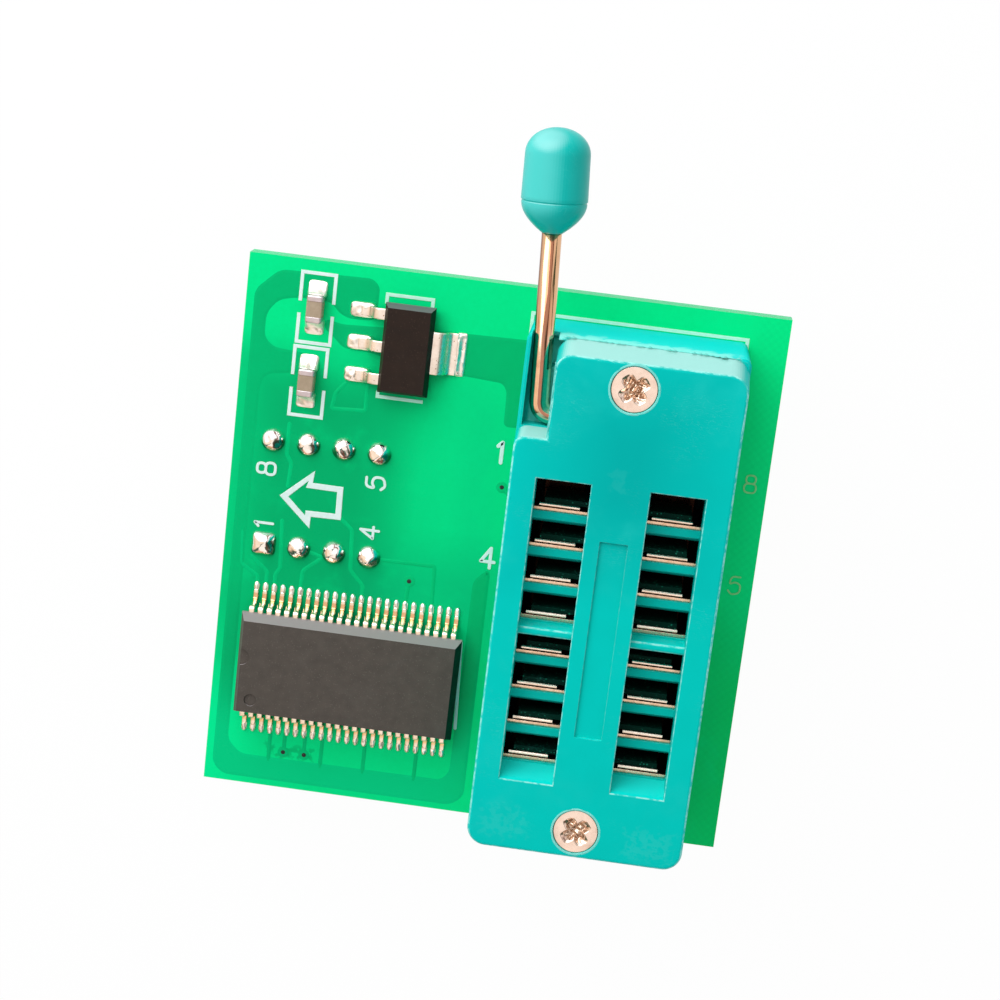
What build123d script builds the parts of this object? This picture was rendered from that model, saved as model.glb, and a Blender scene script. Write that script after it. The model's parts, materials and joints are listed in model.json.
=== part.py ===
"""Level-shifting adapter board with a zero-insertion-force chip socket.

The frame's origin is the centre of the eight header pins, on the underside of
the header bars. +Z is up, +X runs towards the chip socket, +Y away from pin 1.
All lengths are in millimetres, angles in degrees.
"""

from build123d import *
import math
import os

# ---------------------------------------------------------------- dimensions
PITCH = 2.54  # hole-to-hole distance of the chip and header patterns
ROW_SPACING = 7.62  # row-to-row distance of the chip and header patterns

# circuit board
BOARD_SIZE_X = 37.8
BOARD_SIZE_Y = 39.05
BOARD_WEST = -6.63  # west edge, from the header's centre
BOARD_SOUTH = -22.15  # south edge, from the header's centre
BOARD_THICK = 1.6
HOLE_R = 0.45  # plated hole of the header and of the chip socket
VIA_R = 0.2
VIA_PLACES = ((6.9, -5.2), (12.7, 2.55), (-0.95, -19.4), (0.6, -19.4))

# header
HEADER_COUNT = 4  # pins in each bar
BAR_HEIGHT = 2.54
BAR_WIDTH = 2.4
BAR_CORNER = 0.45  # chamfer at each corner of a bar's cell
PIN_R = 0.25  # free end, which enters the programmer's socket
PIN_COLLAR_R = 0.38  # thicker part, held in the bar and the board
PIN_LENGTH = 3.2
PIN_TIP = 0.35  # length of the tapered tip
PIN_FIT = 0.01
DOME_R = 0.82
DOME_HEIGHT = 0.8
DOME_SHOULDER = 0.42  # height of the steep lower part of a solder mound
DOME_SHOULDER_R = 0.69
DOME_TOP_R = 0.25

# level shifter, 24 leads a side
SHIFTER_X = 3.31
SHIFTER_Y = -12.4
SHIFTER_LENGTH = 15.9
SHIFTER_WIDTH = 7.5
SHIFTER_THICK = 2.3
SHIFTER_LIFT = 0.2  # gap between board and body
SHIFTER_SPAN = 10.3  # toe to toe across the two rows
SHIFTER_PITCH = 0.635
SHIFTER_COUNT = 24
SHIFTER_LEAD_WIDTH = 0.3
SHIFTER_LEAD_THICK = 0.18
SHIFTER_FOOT = 0.75
SHIFTER_BELT = 0.3  # straight band of the body where the leads come out
SHIFTER_SLOPE = 0.35  # how far each face leans in between belt and top
DIMPLE_R = 0.45
DIMPLE_DEPTH = 0.12
DIMPLE_INSET_X = 1.3  # dimple centre, from the body's west end
DIMPLE_INSET_Y = 1.3  # dimple centre, from the body's south side
NOTCH_R = 0.6
NOTCH_DEPTH = 0.15
NOTCH_OFFSET = 0.7  # of the end mark, north of the body's middle

# regulator, three leads and a tab
REGULATOR_X = 5.05
REGULATOR_Y = 11.58
REGULATOR_LENGTH = 6.3
REGULATOR_WIDTH = 3.5
REGULATOR_THICK = 1.6
REGULATOR_LIFT = 0.06
REGULATOR_SPAN = 7.0
REGULATOR_PITCH = 2.3
REGULATOR_COUNT = 3
REGULATOR_LEAD_WIDTH = 0.78
REGULATOR_LEAD_THICK = 0.28
REGULATOR_TAB_WIDTH = 3.0
REGULATOR_FOOT = 0.65
REGULATOR_BELT = 0.4
REGULATOR_SLOPE = 0.25
REGULATOR_PAD_OUT = 0.6  # solder beyond each toe
REGULATOR_SOLDER_SIDE = 0.15  # solder beside a lead
REGULATOR_TAB_SOLDER_SIDE = 0.05

# capacitors, long axis along Y
CAPACITOR_PLACES = {"input": (-1.65, 13.6), "output": (-1.77, 8.35)}
CAPACITOR_LENGTH = 2.0
CAPACITOR_WIDTH = 1.12
CAPACITOR_HEIGHT = 1.0
CAPACITOR_TERMINAL = 0.42
CAPACITOR_PROUD = 0.03  # terminal stands proud of the ceramic
CAPACITOR_EDGE = 0.07
CAPACITOR_FILLET_LENGTH = 0.88
CAPACITOR_FILLET_HEIGHT = 0.75
CAPACITOR_FILLET_WIDTH = 1.36

# solder
PAD_THICK = 0.06

# chip socket, base and cover
SOCKET_X = 20.98  # centre between the two contact columns
SOCKET_CENTRE_Y = -5.73  # middle of the contact columns
SOCKET_COUNT = 8  # contacts in each column
BASE_WIDTH = 14.9
BASE_NORTH = 14.95
BASE_LENGTH = 35.8
BASE_HEIGHT = 7.26
BASE_FLOOR = 1.1
BASE_CORNER = 0.5
BASE_EDGE = 0.15  # chamfer round the base's top
COVER_INSET_SIDE = 0.03  # cover's walls, in from the base's
COVER_INSET_NORTH = 0.03
COVER_INSET_SOUTH = 0.35
COVER_NORTH_LEAN = 0.78  # how far the north wall leans in towards the top
COVER_THICK = 2.24
COVER_CORNER = 1.3
COVER_NOTCH_CORNER = 1.1  # between the north wall and the lever's notch
COVER_SHOULDER_CORNER = 0.75  # between the notch and the west wall
COVER_SHOULDER_LEAN = 0.3  # of the notch's south wall
COVER_EDGE = 0.25  # fillet round the cover's top

# contacts and the slots they stand in
SLOT_WIDTH = 3.8  # across a column
RIB_THICK = 0.82  # wall between two contacts of a column
RIB_SLOPE = 0.3  # broken top edge of a rib's south side, measured along Y
RIB_SLOPE_DEPTH = 0.5
BLADE_THICK = 0.22
BLADE_TOP = 7.04  # above the board
FIXED_WIDTH = 3.7
MOVING_WIDTH = 2.75
MOVING_OFFSET = -0.12  # moving blade's centre, from the column's centre
MOVING_BOTTOM = 2.6  # above the board
FOOT_TOP = 2.4  # top of the fixed contact's foot, above the board
FOOT_REACH = 1.0
TAIL_WIDTH = 0.5
TAIL_BELOW = 1.3  # tail below the board
TAIL_FIT = 0.03
TAIL_CONE_HEIGHT = 0.95  # solder under the board
TAIL_CONE_RIM = 0.15
TAIL_CONE_SIDES = 10
GAP_CLOSED = 0.06  # between the two blades with the lever down

# cover windows and label recess
WINDOW_WIDTH = 3.66
WINDOW_NORTH = 5.75
WINDOW_SOUTH = -15.45
WINDOW_LEAN = 0.6  # how far the south wall leans in towards its foot
WINDOW_EDGE = 0.06  # chamfer round a window's mouth
BAR_DROP = 0.7  # cross bar's top, below the cover's top
BAR_THICK = 0.58
LABEL_WIDTH = 1.87
LABEL_NORTH = 2.0
LABEL_SOUTH = -11.8
LABEL_DEPTH = 0.2

# cover screws
SCREW_NORTH_Y = 12.42
SCREW_SPACING = 30.99
SCREW_HEAD_R = 1.48
SCREW_HEAD_HEIGHT = 0.8
SCREW_HEAD_CROWN = 0.25
SCREW_SHANK_R = 0.8
SCREW_LENGTH = 6.0  # under the head
SCREW_CROSS_LENGTH = 2.0
SCREW_CROSS_WIDTH = 0.46
SCREW_CROSS_DEPTH = 0.6
COUNTERBORE_R = 1.56
COUNTERBORE_DEPTH = 0.76
COUNTERBORE_EDGE = 0.12
SCREW_CLEARANCE = 0.1  # of the shank in the cover
SCREW_FIT = 0.02
SCREW_TURN = 38.0  # of the cross recess, from the X axis

# lever: bent wire with a crank, and its knob
LEVER_INSET = 1.31  # where the rod leaves the axle, in from the base's west wall
LEVER_LEAN = 2.6  # of the rod towards -X, away from square to the axle
AXLE_Y = 9.45
AXLE_HEIGHT = 6.4  # above the board
WIRE_R = 0.665
WIRE_FIT = 0.06  # radial clearance of the axle in its troughs
BEND_R = 1.0
TRAVEL = 0.8  # of the slider, for a full throw of the lever
THROW = 90.0  # lever's full throw
REST_ANGLE = 0.0  # lever above level at rest: closed
JOG_LENGTH = 0.9  # along the axle, from journal to crank
JOG_BEND_R = 0.75
KNOB_START = 12.08  # along the rod, from the axle
KNOB_LENGTH = 6.87
KNOB_R = 2.22
KNOB_SHOULDER_R = 2.18  # below the groove
KNOB_NECK_R = 0.85
KNOB_FOOT_R = 1.68  # of the rounded foot, KNOB_FOOT_AT above its end
KNOB_FOOT_AT = 0.75
KNOB_GROOVE = 0.12
KNOB_GROOVE_AT = 2.1  # from the knob's lower end
KNOB_DOME = 1.6  # height of the rounded top
KNOB_TIP_R = 0.75
KNOB_TAPER = 0.07  # how much the barrel narrows towards its top
ROD_IN_KNOB = 4.6
KNOB_FIT = 0.01
CHANNEL_WALL = 0.32  # outer wall of the lever's channel
CHANNEL_FIT = 0.135
CHANNEL_FLOOR_FIT = 0.2
STEP_GAP = 0.065  # between the axle and the channel's south wall
COVER_NOTCH_GAP = 0.16  # between the rod and the cover's notch
POCKET_WIDTH = 1.3  # moulding relief beside the channel's north end
POCKET_LENGTH = 2.1
POCKET_WALL = 0.25
POCKET_DEPTH = 3.0

# slider
SPINE_WIDTH = 2.66
SPINE_LOW = 3.0  # above the board
SPINE_HIGH = 5.2
SLIDE_FIT = 0.1
TOOTH_LOW = 3.7
TOOTH_HIGH = 6.75
TOOTH_THICK = 0.34
TOOTH_INSET = 0.2  # tooth's end, in from the moving blade's edge
TOOTH_FIT = 0.08
HEAD_WIDTH = 4.8
HEAD_HIGH = 6.9
HEAD_SOUTH_WALL = 0.8
HEAD_NORTH_WALL = 0.6
HEAD_CAVITY_WIDTH = 7.4
HEAD_CAVITY_FIT = 0.15
AXLE_END_FIT = 0.25
AXLE_TAIL = 1.8  # journal beyond the crank's cavity

# ------------------------------------------------------------ worked-out sizes
BOARD_BOTTOM = BAR_HEIGHT
BOARD_TOP = BOARD_BOTTOM + BOARD_THICK
BOARD_EAST = BOARD_WEST + BOARD_SIZE_X
BOARD_NORTH = BOARD_SOUTH + BOARD_SIZE_Y

BASE_TOP = BOARD_TOP + BASE_HEIGHT
COVER_TOP = BASE_TOP + COVER_THICK
BASE_SOUTH = BASE_NORTH - BASE_LENGTH
BASE_WEST = SOCKET_X - BASE_WIDTH / 2
BASE_EAST = BASE_WEST + BASE_WIDTH
LEVER_X = BASE_WEST + LEVER_INSET
COVER_NORTH = BASE_NORTH - COVER_INSET_NORTH
COVER_SOUTH = BASE_SOUTH + COVER_INSET_SOUTH
COVER_WEST = BASE_WEST + COVER_INSET_SIDE
COVER_EAST = BASE_EAST - COVER_INSET_SIDE
COLUMNS = {"left": SOCKET_X - ROW_SPACING / 2, "right": SOCKET_X + ROW_SPACING / 2}
SCREW_PLACES = (SCREW_NORTH_Y, SCREW_NORTH_Y - SCREW_SPACING)

AXLE_Z = BOARD_TOP + AXLE_HEIGHT
CRANK_R = TRAVEL / 2 / math.sin(math.radians(THROW / 2))
OPENED = TRAVEL * REST_ANGLE / THROW  # slider's way from closed to rest
TROUGH_R = WIRE_R + WIRE_FIT
CRANK_Y = AXLE_Y - TRAVEL / 2 + OPENED  # middle of the slider's crank slot at rest

CHANNEL_WEST = BASE_WEST + CHANNEL_WALL
CHANNEL_EAST = LEVER_X + WIRE_R + CHANNEL_FIT
CHANNEL_FLOOR = AXLE_Z - WIRE_R - CHANNEL_FLOOR_FIT
CHANNEL_SOUTH = AXLE_Y - WIRE_R - STEP_GAP
NOTCH_EAST = LEVER_X + WIRE_R + COVER_NOTCH_GAP
NOTCH_SOUTH = CHANNEL_SOUTH

CAVITY_WEST = SOCKET_X - HEAD_CAVITY_WIDTH / 2
CAVITY_EAST = SOCKET_X + HEAD_CAVITY_WIDTH / 2
AXLE_END = CAVITY_EAST + AXLE_TAIL
HEAD_SOUTH = CRANK_Y - TROUGH_R - HEAD_SOUTH_WALL
HEAD_NORTH = CRANK_Y + TROUGH_R + HEAD_NORTH_WALL
CAVITY_SOUTH = HEAD_SOUTH - OPENED - HEAD_CAVITY_FIT
CAVITY_NORTH = HEAD_NORTH + TRAVEL - OPENED + HEAD_CAVITY_FIT
CRANK_FLOOR = AXLE_Z - CRANK_R - TROUGH_R - WIRE_FIT
SPINE_CHANNEL = SPINE_WIDTH + 2 * SLIDE_FIT


# -------------------------------------------------------------------- helpers
def block(x0, x1, y0, y1, z0, z1):
    """Box between two corners."""
    return Pos((x0 + x1) / 2, (y0 + y1) / 2, (z0 + z1) / 2) * Box(x1 - x0, y1 - y0, z1 - z0)


def post(x, y, z0, z1, radius):
    """Upright cylinder between two heights."""
    return Pos(x, y, (z0 + z1) / 2) * Cylinder(radius, z1 - z0)


def turned(points):
    """Solid of revolution about Z from a profile of (radius, height) points."""
    profile = make_face(Plane.XZ * Polyline(*points, close=True))
    return revolve(profile, Axis.Z)


def group(solids):
    """Several separate solids kept as one node."""
    return Compound(children=list(solids))


def write(name, shape):
    """Write one node to its STEP file."""
    export_step(shape, f"parts/{name}.step")
    print(name, len(shape.solids()), round(shape.volume, 3))


def contact_y(number):
    """Middle of a fixed blade: contact 1 is the northernmost of its column."""
    return SOCKET_CENTRE_Y + ((SOCKET_COUNT + 1) / 2 - number) * PITCH


def header_places(side):
    """Pin positions of one header bar, side -1 for south and 1 for north."""
    first = -(HEADER_COUNT - 1) / 2
    return [((first + i) * PITCH, side * ROW_SPACING / 2) for i in range(HEADER_COUNT)]


def socket_places():
    """Tail positions of the chip socket."""
    return [(x, contact_y(n)) for x in COLUMNS.values() for n in range(1, SOCKET_COUNT + 1)]


def along(count, pitch):
    """Offsets of a row of equally spaced items, centred on zero."""
    return [(i - (count - 1) / 2) * pitch for i in range(count)]


# ------------------------------------------------------------- board and header
def circuit_board():
    board = block(BOARD_WEST, BOARD_EAST, BOARD_SOUTH, BOARD_NORTH, BOARD_BOTTOM, BOARD_TOP)
    holes = [(place, HOLE_R) for place in header_places(-1) + header_places(1) + socket_places()]
    holes += [(place, VIA_R) for place in VIA_PLACES]
    drills = [post(x, y, BOARD_BOTTOM - 1, BOARD_TOP + 1, radius) for (x, y), radius in holes]
    return board - drills


def header_bar(side):
    """Moulded bar of square cells with broken corners, one cell for each pin."""
    bar = None
    for x, y in header_places(side):
        cell = Pos(x, y, 0) * chamfer(Rectangle(PITCH, BAR_WIDTH).vertices(), BAR_CORNER)
        cell = extrude(cell, BAR_HEIGHT)
        bar = cell if bar is None else bar + cell
    pins = [post(x, y, -1, BAR_HEIGHT + 1, PIN_COLLAR_R + PIN_FIT) for x, y in header_places(side)]
    return bar - pins


def header_pins(side):
    """Round pins from the tapered free end, through bar and board, to the foot of the solder."""
    pin = turned((
        (0, -PIN_LENGTH),
        (PIN_R * 0.5, -PIN_LENGTH),
        (PIN_R, -PIN_LENGTH + PIN_TIP),
        (PIN_R, 0),
        (PIN_COLLAR_R, 0),
        (PIN_COLLAR_R, BOARD_TOP),
        (0, BOARD_TOP),
    ))
    return group([Pos(x, y, 0) * pin for x, y in header_places(side)])


def header_solder():
    """Mounds of solder over the pins' upper ends, steep below the shoulder and shallow above it."""
    mound = turned((
        (0, 0),
        (DOME_R, 0),
        (DOME_SHOULDER_R, DOME_SHOULDER),
        (DOME_TOP_R, DOME_HEIGHT),
        (0, DOME_HEIGHT),
    ))
    places = header_places(-1) + header_places(1)
    return group([Pos(x, y, BOARD_TOP) * mound for x, y in places])


# ---------------------------------------------------------- surface-mount parts
def moulded_body(size_x, size_y, thick, belt, slope):
    """Moulded chip body, its underside at Z = 0: two halves that lean in from a straight belt."""
    low = (thick - belt) / 2
    high = low + belt
    middle = Pos(0, 0, low) * extrude(Rectangle(size_x, size_y), belt)
    upper = loft([
        Pos(0, 0, high) * Rectangle(size_x, size_y),
        Pos(0, 0, thick) * Rectangle(size_x - 2 * slope, size_y - 2 * slope),
    ])
    lower = loft([
        Rectangle(size_x - 2 * slope, size_y - 2 * slope),
        Pos(0, 0, low) * Rectangle(size_x, size_y),
    ])
    return lower + middle + upper


def gull_wing(reach, exit_height, foot, thick, width):
    """Bent lead in the X-Z plane: out of a body at X = 0, down, and along the board at Z = 0."""
    knee = reach - foot
    shoulder = knee * 0.5
    high = exit_height + thick / 2
    low = high - thick
    slope = math.atan2(low, knee - shoulder)
    shift = thick * math.tan(slope / 2)
    outline = Polyline(
        (0, low),
        (shoulder - shift, low),
        (knee - shift, 0),
        (reach, 0),
        (reach, thick),
        (knee, thick),
        (shoulder, high),
        (0, high),
        close=True,
    )
    return Pos(0, width / 2, 0) * extrude(Plane.XZ * make_face(outline), width)


def shifter_body():
    body = moulded_body(SHIFTER_LENGTH, SHIFTER_WIDTH, SHIFTER_THICK, SHIFTER_BELT, SHIFTER_SLOPE)
    dimple_x = -SHIFTER_LENGTH / 2 + DIMPLE_INSET_X
    dimple_y = -SHIFTER_WIDTH / 2 + DIMPLE_INSET_Y
    dimple = post(dimple_x, dimple_y, SHIFTER_THICK - DIMPLE_DEPTH, SHIFTER_THICK + 1, DIMPLE_R)
    notch_x = -SHIFTER_LENGTH / 2 + SHIFTER_SLOPE
    notch = post(notch_x, NOTCH_OFFSET, SHIFTER_THICK - NOTCH_DEPTH, SHIFTER_THICK + 1, NOTCH_R)
    return Pos(SHIFTER_X, SHIFTER_Y, BOARD_TOP + SHIFTER_LIFT) * (body - dimple - notch)


def shifter_leads(side):
    """One row of 24 leads, side -1 for south and 1 for north."""
    reach = (SHIFTER_SPAN - SHIFTER_WIDTH) / 2
    exit_height = SHIFTER_LIFT + SHIFTER_THICK / 2
    lead = gull_wing(reach, exit_height, SHIFTER_FOOT, SHIFTER_LEAD_THICK, SHIFTER_LEAD_WIDTH)
    lead = Pos(0, side * SHIFTER_WIDTH / 2, BOARD_TOP) * Rot(0, 0, side * 90) * lead
    return group([Pos(SHIFTER_X + x, SHIFTER_Y, 0) * lead for x in along(SHIFTER_COUNT, SHIFTER_PITCH)])


def regulator_body():
    body = moulded_body(
        REGULATOR_WIDTH, REGULATOR_LENGTH, REGULATOR_THICK, REGULATOR_BELT, REGULATOR_SLOPE
    )
    return Pos(REGULATOR_X, REGULATOR_Y, BOARD_TOP + REGULATOR_LIFT) * body


def regulator_lead(width):
    """A lead or the tab, out of the body's belt and down to the board."""
    reach = (REGULATOR_SPAN - REGULATOR_WIDTH) / 2
    exit_height = REGULATOR_LIFT + REGULATOR_THICK / 2
    return gull_wing(reach, exit_height, REGULATOR_FOOT, REGULATOR_LEAD_THICK, width)


def regulator_leads():
    lead = Rot(0, 0, 180) * regulator_lead(REGULATOR_LEAD_WIDTH)
    west = REGULATOR_X - REGULATOR_WIDTH / 2
    places = along(REGULATOR_COUNT, REGULATOR_PITCH)
    return group([Pos(west, REGULATOR_Y + y, BOARD_TOP) * lead for y in places])


def regulator_tab():
    tab = regulator_lead(REGULATOR_TAB_WIDTH)
    return Pos(REGULATOR_X + REGULATOR_WIDTH / 2, REGULATOR_Y, BOARD_TOP) * tab


def solder_fillet(length, height, width):
    """Concave ramp of solder in the X-Z plane, its tall side at X = 0, falling towards +X."""
    top = (0, height)
    hollow = (length * 0.3, height * 0.38)
    toe = (length, PAD_THICK)
    outline = ThreePointArc(top, hollow, toe) + Polyline(toe, (length, 0), (0, 0), top)
    return Pos(0, width / 2, 0) * extrude(Plane.XZ * make_face(outline), width)


def regulator_solder():
    """Solder beyond the toes of the three leads and of the tab."""
    half_span = REGULATOR_SPAN / 2
    lead_width = REGULATOR_LEAD_WIDTH + 2 * REGULATOR_SOLDER_SIDE
    tab_width = REGULATOR_TAB_WIDTH + 2 * REGULATOR_TAB_SOLDER_SIDE
    lead_fillet = solder_fillet(REGULATOR_PAD_OUT, REGULATOR_LEAD_THICK, lead_width)
    tab_fillet = solder_fillet(REGULATOR_PAD_OUT, REGULATOR_LEAD_THICK, tab_width)
    places = along(REGULATOR_COUNT, REGULATOR_PITCH)
    west = Pos(REGULATOR_X - half_span, REGULATOR_Y, BOARD_TOP) * Rot(0, 0, 180) * lead_fillet
    east = Pos(REGULATOR_X + half_span, REGULATOR_Y, BOARD_TOP) * tab_fillet
    return group([Pos(0, y, 0) * west for y in places] + [east])


def capacitor_body(place):
    """Ceramic block between the two terminals."""
    x, y = place
    length = CAPACITOR_LENGTH - 2 * CAPACITOR_TERMINAL
    ceramic = Box(CAPACITOR_WIDTH, length, CAPACITOR_HEIGHT)
    ceramic = chamfer(ceramic.edges().filter_by(Axis.Y), CAPACITOR_EDGE)
    return Pos(x, y, BOARD_TOP + CAPACITOR_PROUD + CAPACITOR_HEIGHT / 2) * ceramic


def capacitor_terminals(place):
    """Metal cap on each end of the ceramic."""
    x, y = place
    width = CAPACITOR_WIDTH + 2 * CAPACITOR_PROUD
    height = CAPACITOR_HEIGHT + 2 * CAPACITOR_PROUD
    cap = Pos(0, 0, height / 2) * Box(width, CAPACITOR_TERMINAL, height)
    cap = chamfer(cap.edges().filter_by(Axis.Y), CAPACITOR_EDGE)
    offset = (CAPACITOR_LENGTH - CAPACITOR_TERMINAL) / 2
    return group([Pos(x, y + side * offset, BOARD_TOP) * cap for side in (-1, 1)])


def capacitor_solder():
    """Solder ramps at both ends of both capacitors."""
    ramp = solder_fillet(CAPACITOR_FILLET_LENGTH, CAPACITOR_FILLET_HEIGHT, CAPACITOR_FILLET_WIDTH)
    ramps = []
    for x, y in CAPACITOR_PLACES.values():
        for side in (-1, 1):
            end = y + side * CAPACITOR_LENGTH / 2
            ramps.append(Pos(x, end, BOARD_TOP) * Rot(0, 0, side * 90) * ramp)
    return group(ramps)


# ------------------------------------------------------------------ chip socket
def slot_limits(number):
    """South and north wall of the slot that holds one contact."""
    south = contact_y(number) - BLADE_THICK / 2
    north = WINDOW_NORTH - RIB_SLOPE if number == 1 else south + PITCH - RIB_THICK
    return south, north


def tooth_limits(number):
    """South and north face of a slider tooth at rest; its south face carries the moving blade."""
    south = contact_y(number) + BLADE_THICK * 1.5 + GAP_CLOSED + OPENED
    return south, south + TOOTH_THICK


def rib_slope(x, y):
    """Wedge that breaks the top edge of a slot's north wall."""
    outline = Polyline(
        (y - RIB_SLOPE, BASE_TOP - RIB_SLOPE_DEPTH),
        (y, BASE_TOP - RIB_SLOPE_DEPTH),
        (y + RIB_SLOPE, BASE_TOP),
        (y + RIB_SLOPE, BASE_TOP + 1),
        (y - RIB_SLOPE, BASE_TOP + 1),
        close=True,
    )
    return Pos(x - SLOT_WIDTH / 2, 0, 0) * extrude(Plane.YZ * make_face(outline), SLOT_WIDTH)


def socket_base():
    """Moulded base with contact slots, slider channel, crank cavity, axle troughs and lever channel."""
    outline = Pos(SOCKET_X, (BASE_NORTH + BASE_SOUTH) / 2, BOARD_TOP) * RectangleRounded(
        BASE_WIDTH, BASE_LENGTH, BASE_CORNER
    )
    base = extrude(outline, BASE_HEIGHT)
    base = chamfer(base.faces().sort_by(Axis.Z)[-1].outer_wire().edges(), BASE_EDGE)
    top = BASE_TOP + 1
    cuts = []
    # contact slots, with a hole through the floor for each tail
    for x in COLUMNS.values():
        for number in range(1, SOCKET_COUNT + 1):
            south, north = slot_limits(number)
            floor = BOARD_TOP + BASE_FLOOR
            cuts.append(block(x - SLOT_WIDTH / 2, x + SLOT_WIDTH / 2, south, north, floor, top))
            cuts.append(rib_slope(x, north))
            half = TAIL_WIDTH / 2 + TAIL_FIT
            cuts.append(block(x - half, x + half, south, south + BLADE_THICK, BOARD_TOP - 1, floor + 1))
    # slider's channel and the notches that its teeth move in
    half = SPINE_CHANNEL / 2
    last_south, _ = tooth_limits(SOCKET_COUNT)
    channel_south = last_south - OPENED - SLIDE_FIT - TOOTH_THICK
    low = BOARD_TOP + SPINE_LOW - SLIDE_FIT
    cuts.append(block(SOCKET_X - half, SOCKET_X + half, channel_south, CAVITY_SOUTH + 1, low, top))
    for number in range(1, SOCKET_COUNT + 1):
        south, north = tooth_limits(number)
        south -= OPENED + TOOTH_FIT
        north += TRAVEL - OPENED + TOOTH_FIT
        reach = ROW_SPACING / 2
        tooth_floor = BOARD_TOP + TOOTH_LOW - SLIDE_FIT
        cuts.append(block(SOCKET_X - reach, SOCKET_X + reach, south, north, tooth_floor, top))
    # cavity that the crank and the slider's head move in
    cuts.append(block(CAVITY_WEST, CAVITY_EAST, CAVITY_SOUTH, CAVITY_NORTH, low, top))
    # troughs that carry the axle
    trough_end = AXLE_END + AXLE_END_FIT
    trough = Pos((CHANNEL_WEST + trough_end) / 2, AXLE_Y, AXLE_Z) * Rot(0, 90, 0)
    cuts.append(trough * Cylinder(TROUGH_R, trough_end - CHANNEL_WEST))
    cuts.append(block(CHANNEL_WEST, trough_end, AXLE_Y - TROUGH_R, AXLE_Y + TROUGH_R, AXLE_Z, top))
    # channel for the lever, open at its north end
    cuts.append(block(CHANNEL_WEST, CHANNEL_EAST, CHANNEL_SOUTH, BASE_NORTH + 1, CHANNEL_FLOOR, top))
    pocket_north = BASE_NORTH - POCKET_WALL
    cuts.append(block(
        CHANNEL_EAST - 1, CHANNEL_EAST + POCKET_WIDTH, pocket_north - POCKET_LENGTH, pocket_north,
        BASE_TOP - POCKET_DEPTH, top,
    ))
    # pilot holes for the cover screws
    screw_foot = COVER_TOP - COUNTERBORE_DEPTH - SCREW_LENGTH
    for y in SCREW_PLACES:
        cuts.append(post(SOCKET_X, y, screw_foot - SCREW_FIT, top, SCREW_SHANK_R + SCREW_FIT))
    return base - cuts


def window_cut(x, south, north, lean):
    """Cover window whose south wall leans in towards its foot by the given amount."""
    low = BASE_TOP - 0.01
    high = COVER_TOP + 0.01
    outline = Polyline((south + lean, low), (north, low), (north, high), (south, high), close=True)
    face = Plane.YZ * make_face(outline)
    return Pos(x - WINDOW_WIDTH / 2, 0, 0) * extrude(face, WINDOW_WIDTH)


def cross_bar(x):
    """Round-topped bar across a window, over the rib between contacts 4 and 5."""
    south, _ = slot_limits(SOCKET_COUNT // 2)
    centre = south - RIB_THICK / 2
    height = COVER_THICK - BAR_DROP
    bar = Pos(x, centre, BASE_TOP + height / 2) * Box(WINDOW_WIDTH, BAR_THICK, height)
    top_edges = bar.edges().filter_by(Axis.X).group_by(Axis.Z)[-1]
    return fillet(top_edges, BAR_THICK * 0.4)


def cover_outline(north, shoulder, height):
    """Cover's plan at one height, with its north wall and the notch's south wall at the given places."""
    corners = (
        ((COVER_WEST, COVER_SOUTH), COVER_CORNER),
        ((COVER_EAST, COVER_SOUTH), COVER_CORNER),
        ((COVER_EAST, north), COVER_CORNER),
        ((NOTCH_EAST, north), COVER_NOTCH_CORNER),
        ((NOTCH_EAST, shoulder), 0),
        ((COVER_WEST, shoulder), COVER_SHOULDER_CORNER),
    )
    points = [point for point, _ in corners]
    wire = FilletPolyline(*points, radius=[radius for _, radius in corners], close=True)
    return Pos(0, 0, height) * make_face(wire)


def socket_cover():
    """Moulded cover with two windows, screw seats, a label recess and a notch for the lever."""
    cover = loft([
        cover_outline(COVER_NORTH, NOTCH_SOUTH, BASE_TOP),
        cover_outline(COVER_NORTH - COVER_NORTH_LEAN, NOTCH_SOUTH - COVER_SHOULDER_LEAN, COVER_TOP),
    ], ruled=True)
    cover = fillet(cover.faces().sort_by(Axis.Z)[-1].outer_wire().edges(), COVER_EDGE)
    # windows, then the edges of their mouths
    cover = cover - [window_cut(x, WINDOW_SOUTH, WINDOW_NORTH, WINDOW_LEAN) for x in COLUMNS.values()]
    mouths = cover.faces().sort_by(Axis.Z)[-1].inner_wires()
    cover = chamfer([edge for mouth in mouths for edge in mouth.edges()], WINDOW_EDGE)
    # screw seats
    seat = COVER_TOP - COUNTERBORE_DEPTH
    cuts = []
    for y in SCREW_PLACES:
        cuts.append(post(SOCKET_X, y, BASE_TOP - 1, COVER_TOP + 1, SCREW_SHANK_R + SCREW_CLEARANCE))
        cuts.append(post(SOCKET_X, y, seat, COVER_TOP + 1, COUNTERBORE_R))
        rim = Cone(COUNTERBORE_R, COUNTERBORE_R + COUNTERBORE_EDGE, COUNTERBORE_EDGE)
        cuts.append(Pos(SOCKET_X, y, COVER_TOP - COUNTERBORE_EDGE / 2) * rim)
    half = LABEL_WIDTH / 2
    floor = COVER_TOP - LABEL_DEPTH
    cuts.append(block(SOCKET_X - half, SOCKET_X + half, LABEL_SOUTH, LABEL_NORTH, floor, COVER_TOP + 1))
    cover = cover - cuts
    for x in COLUMNS.values():
        cover = cover + cross_bar(x)
    return cover


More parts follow.
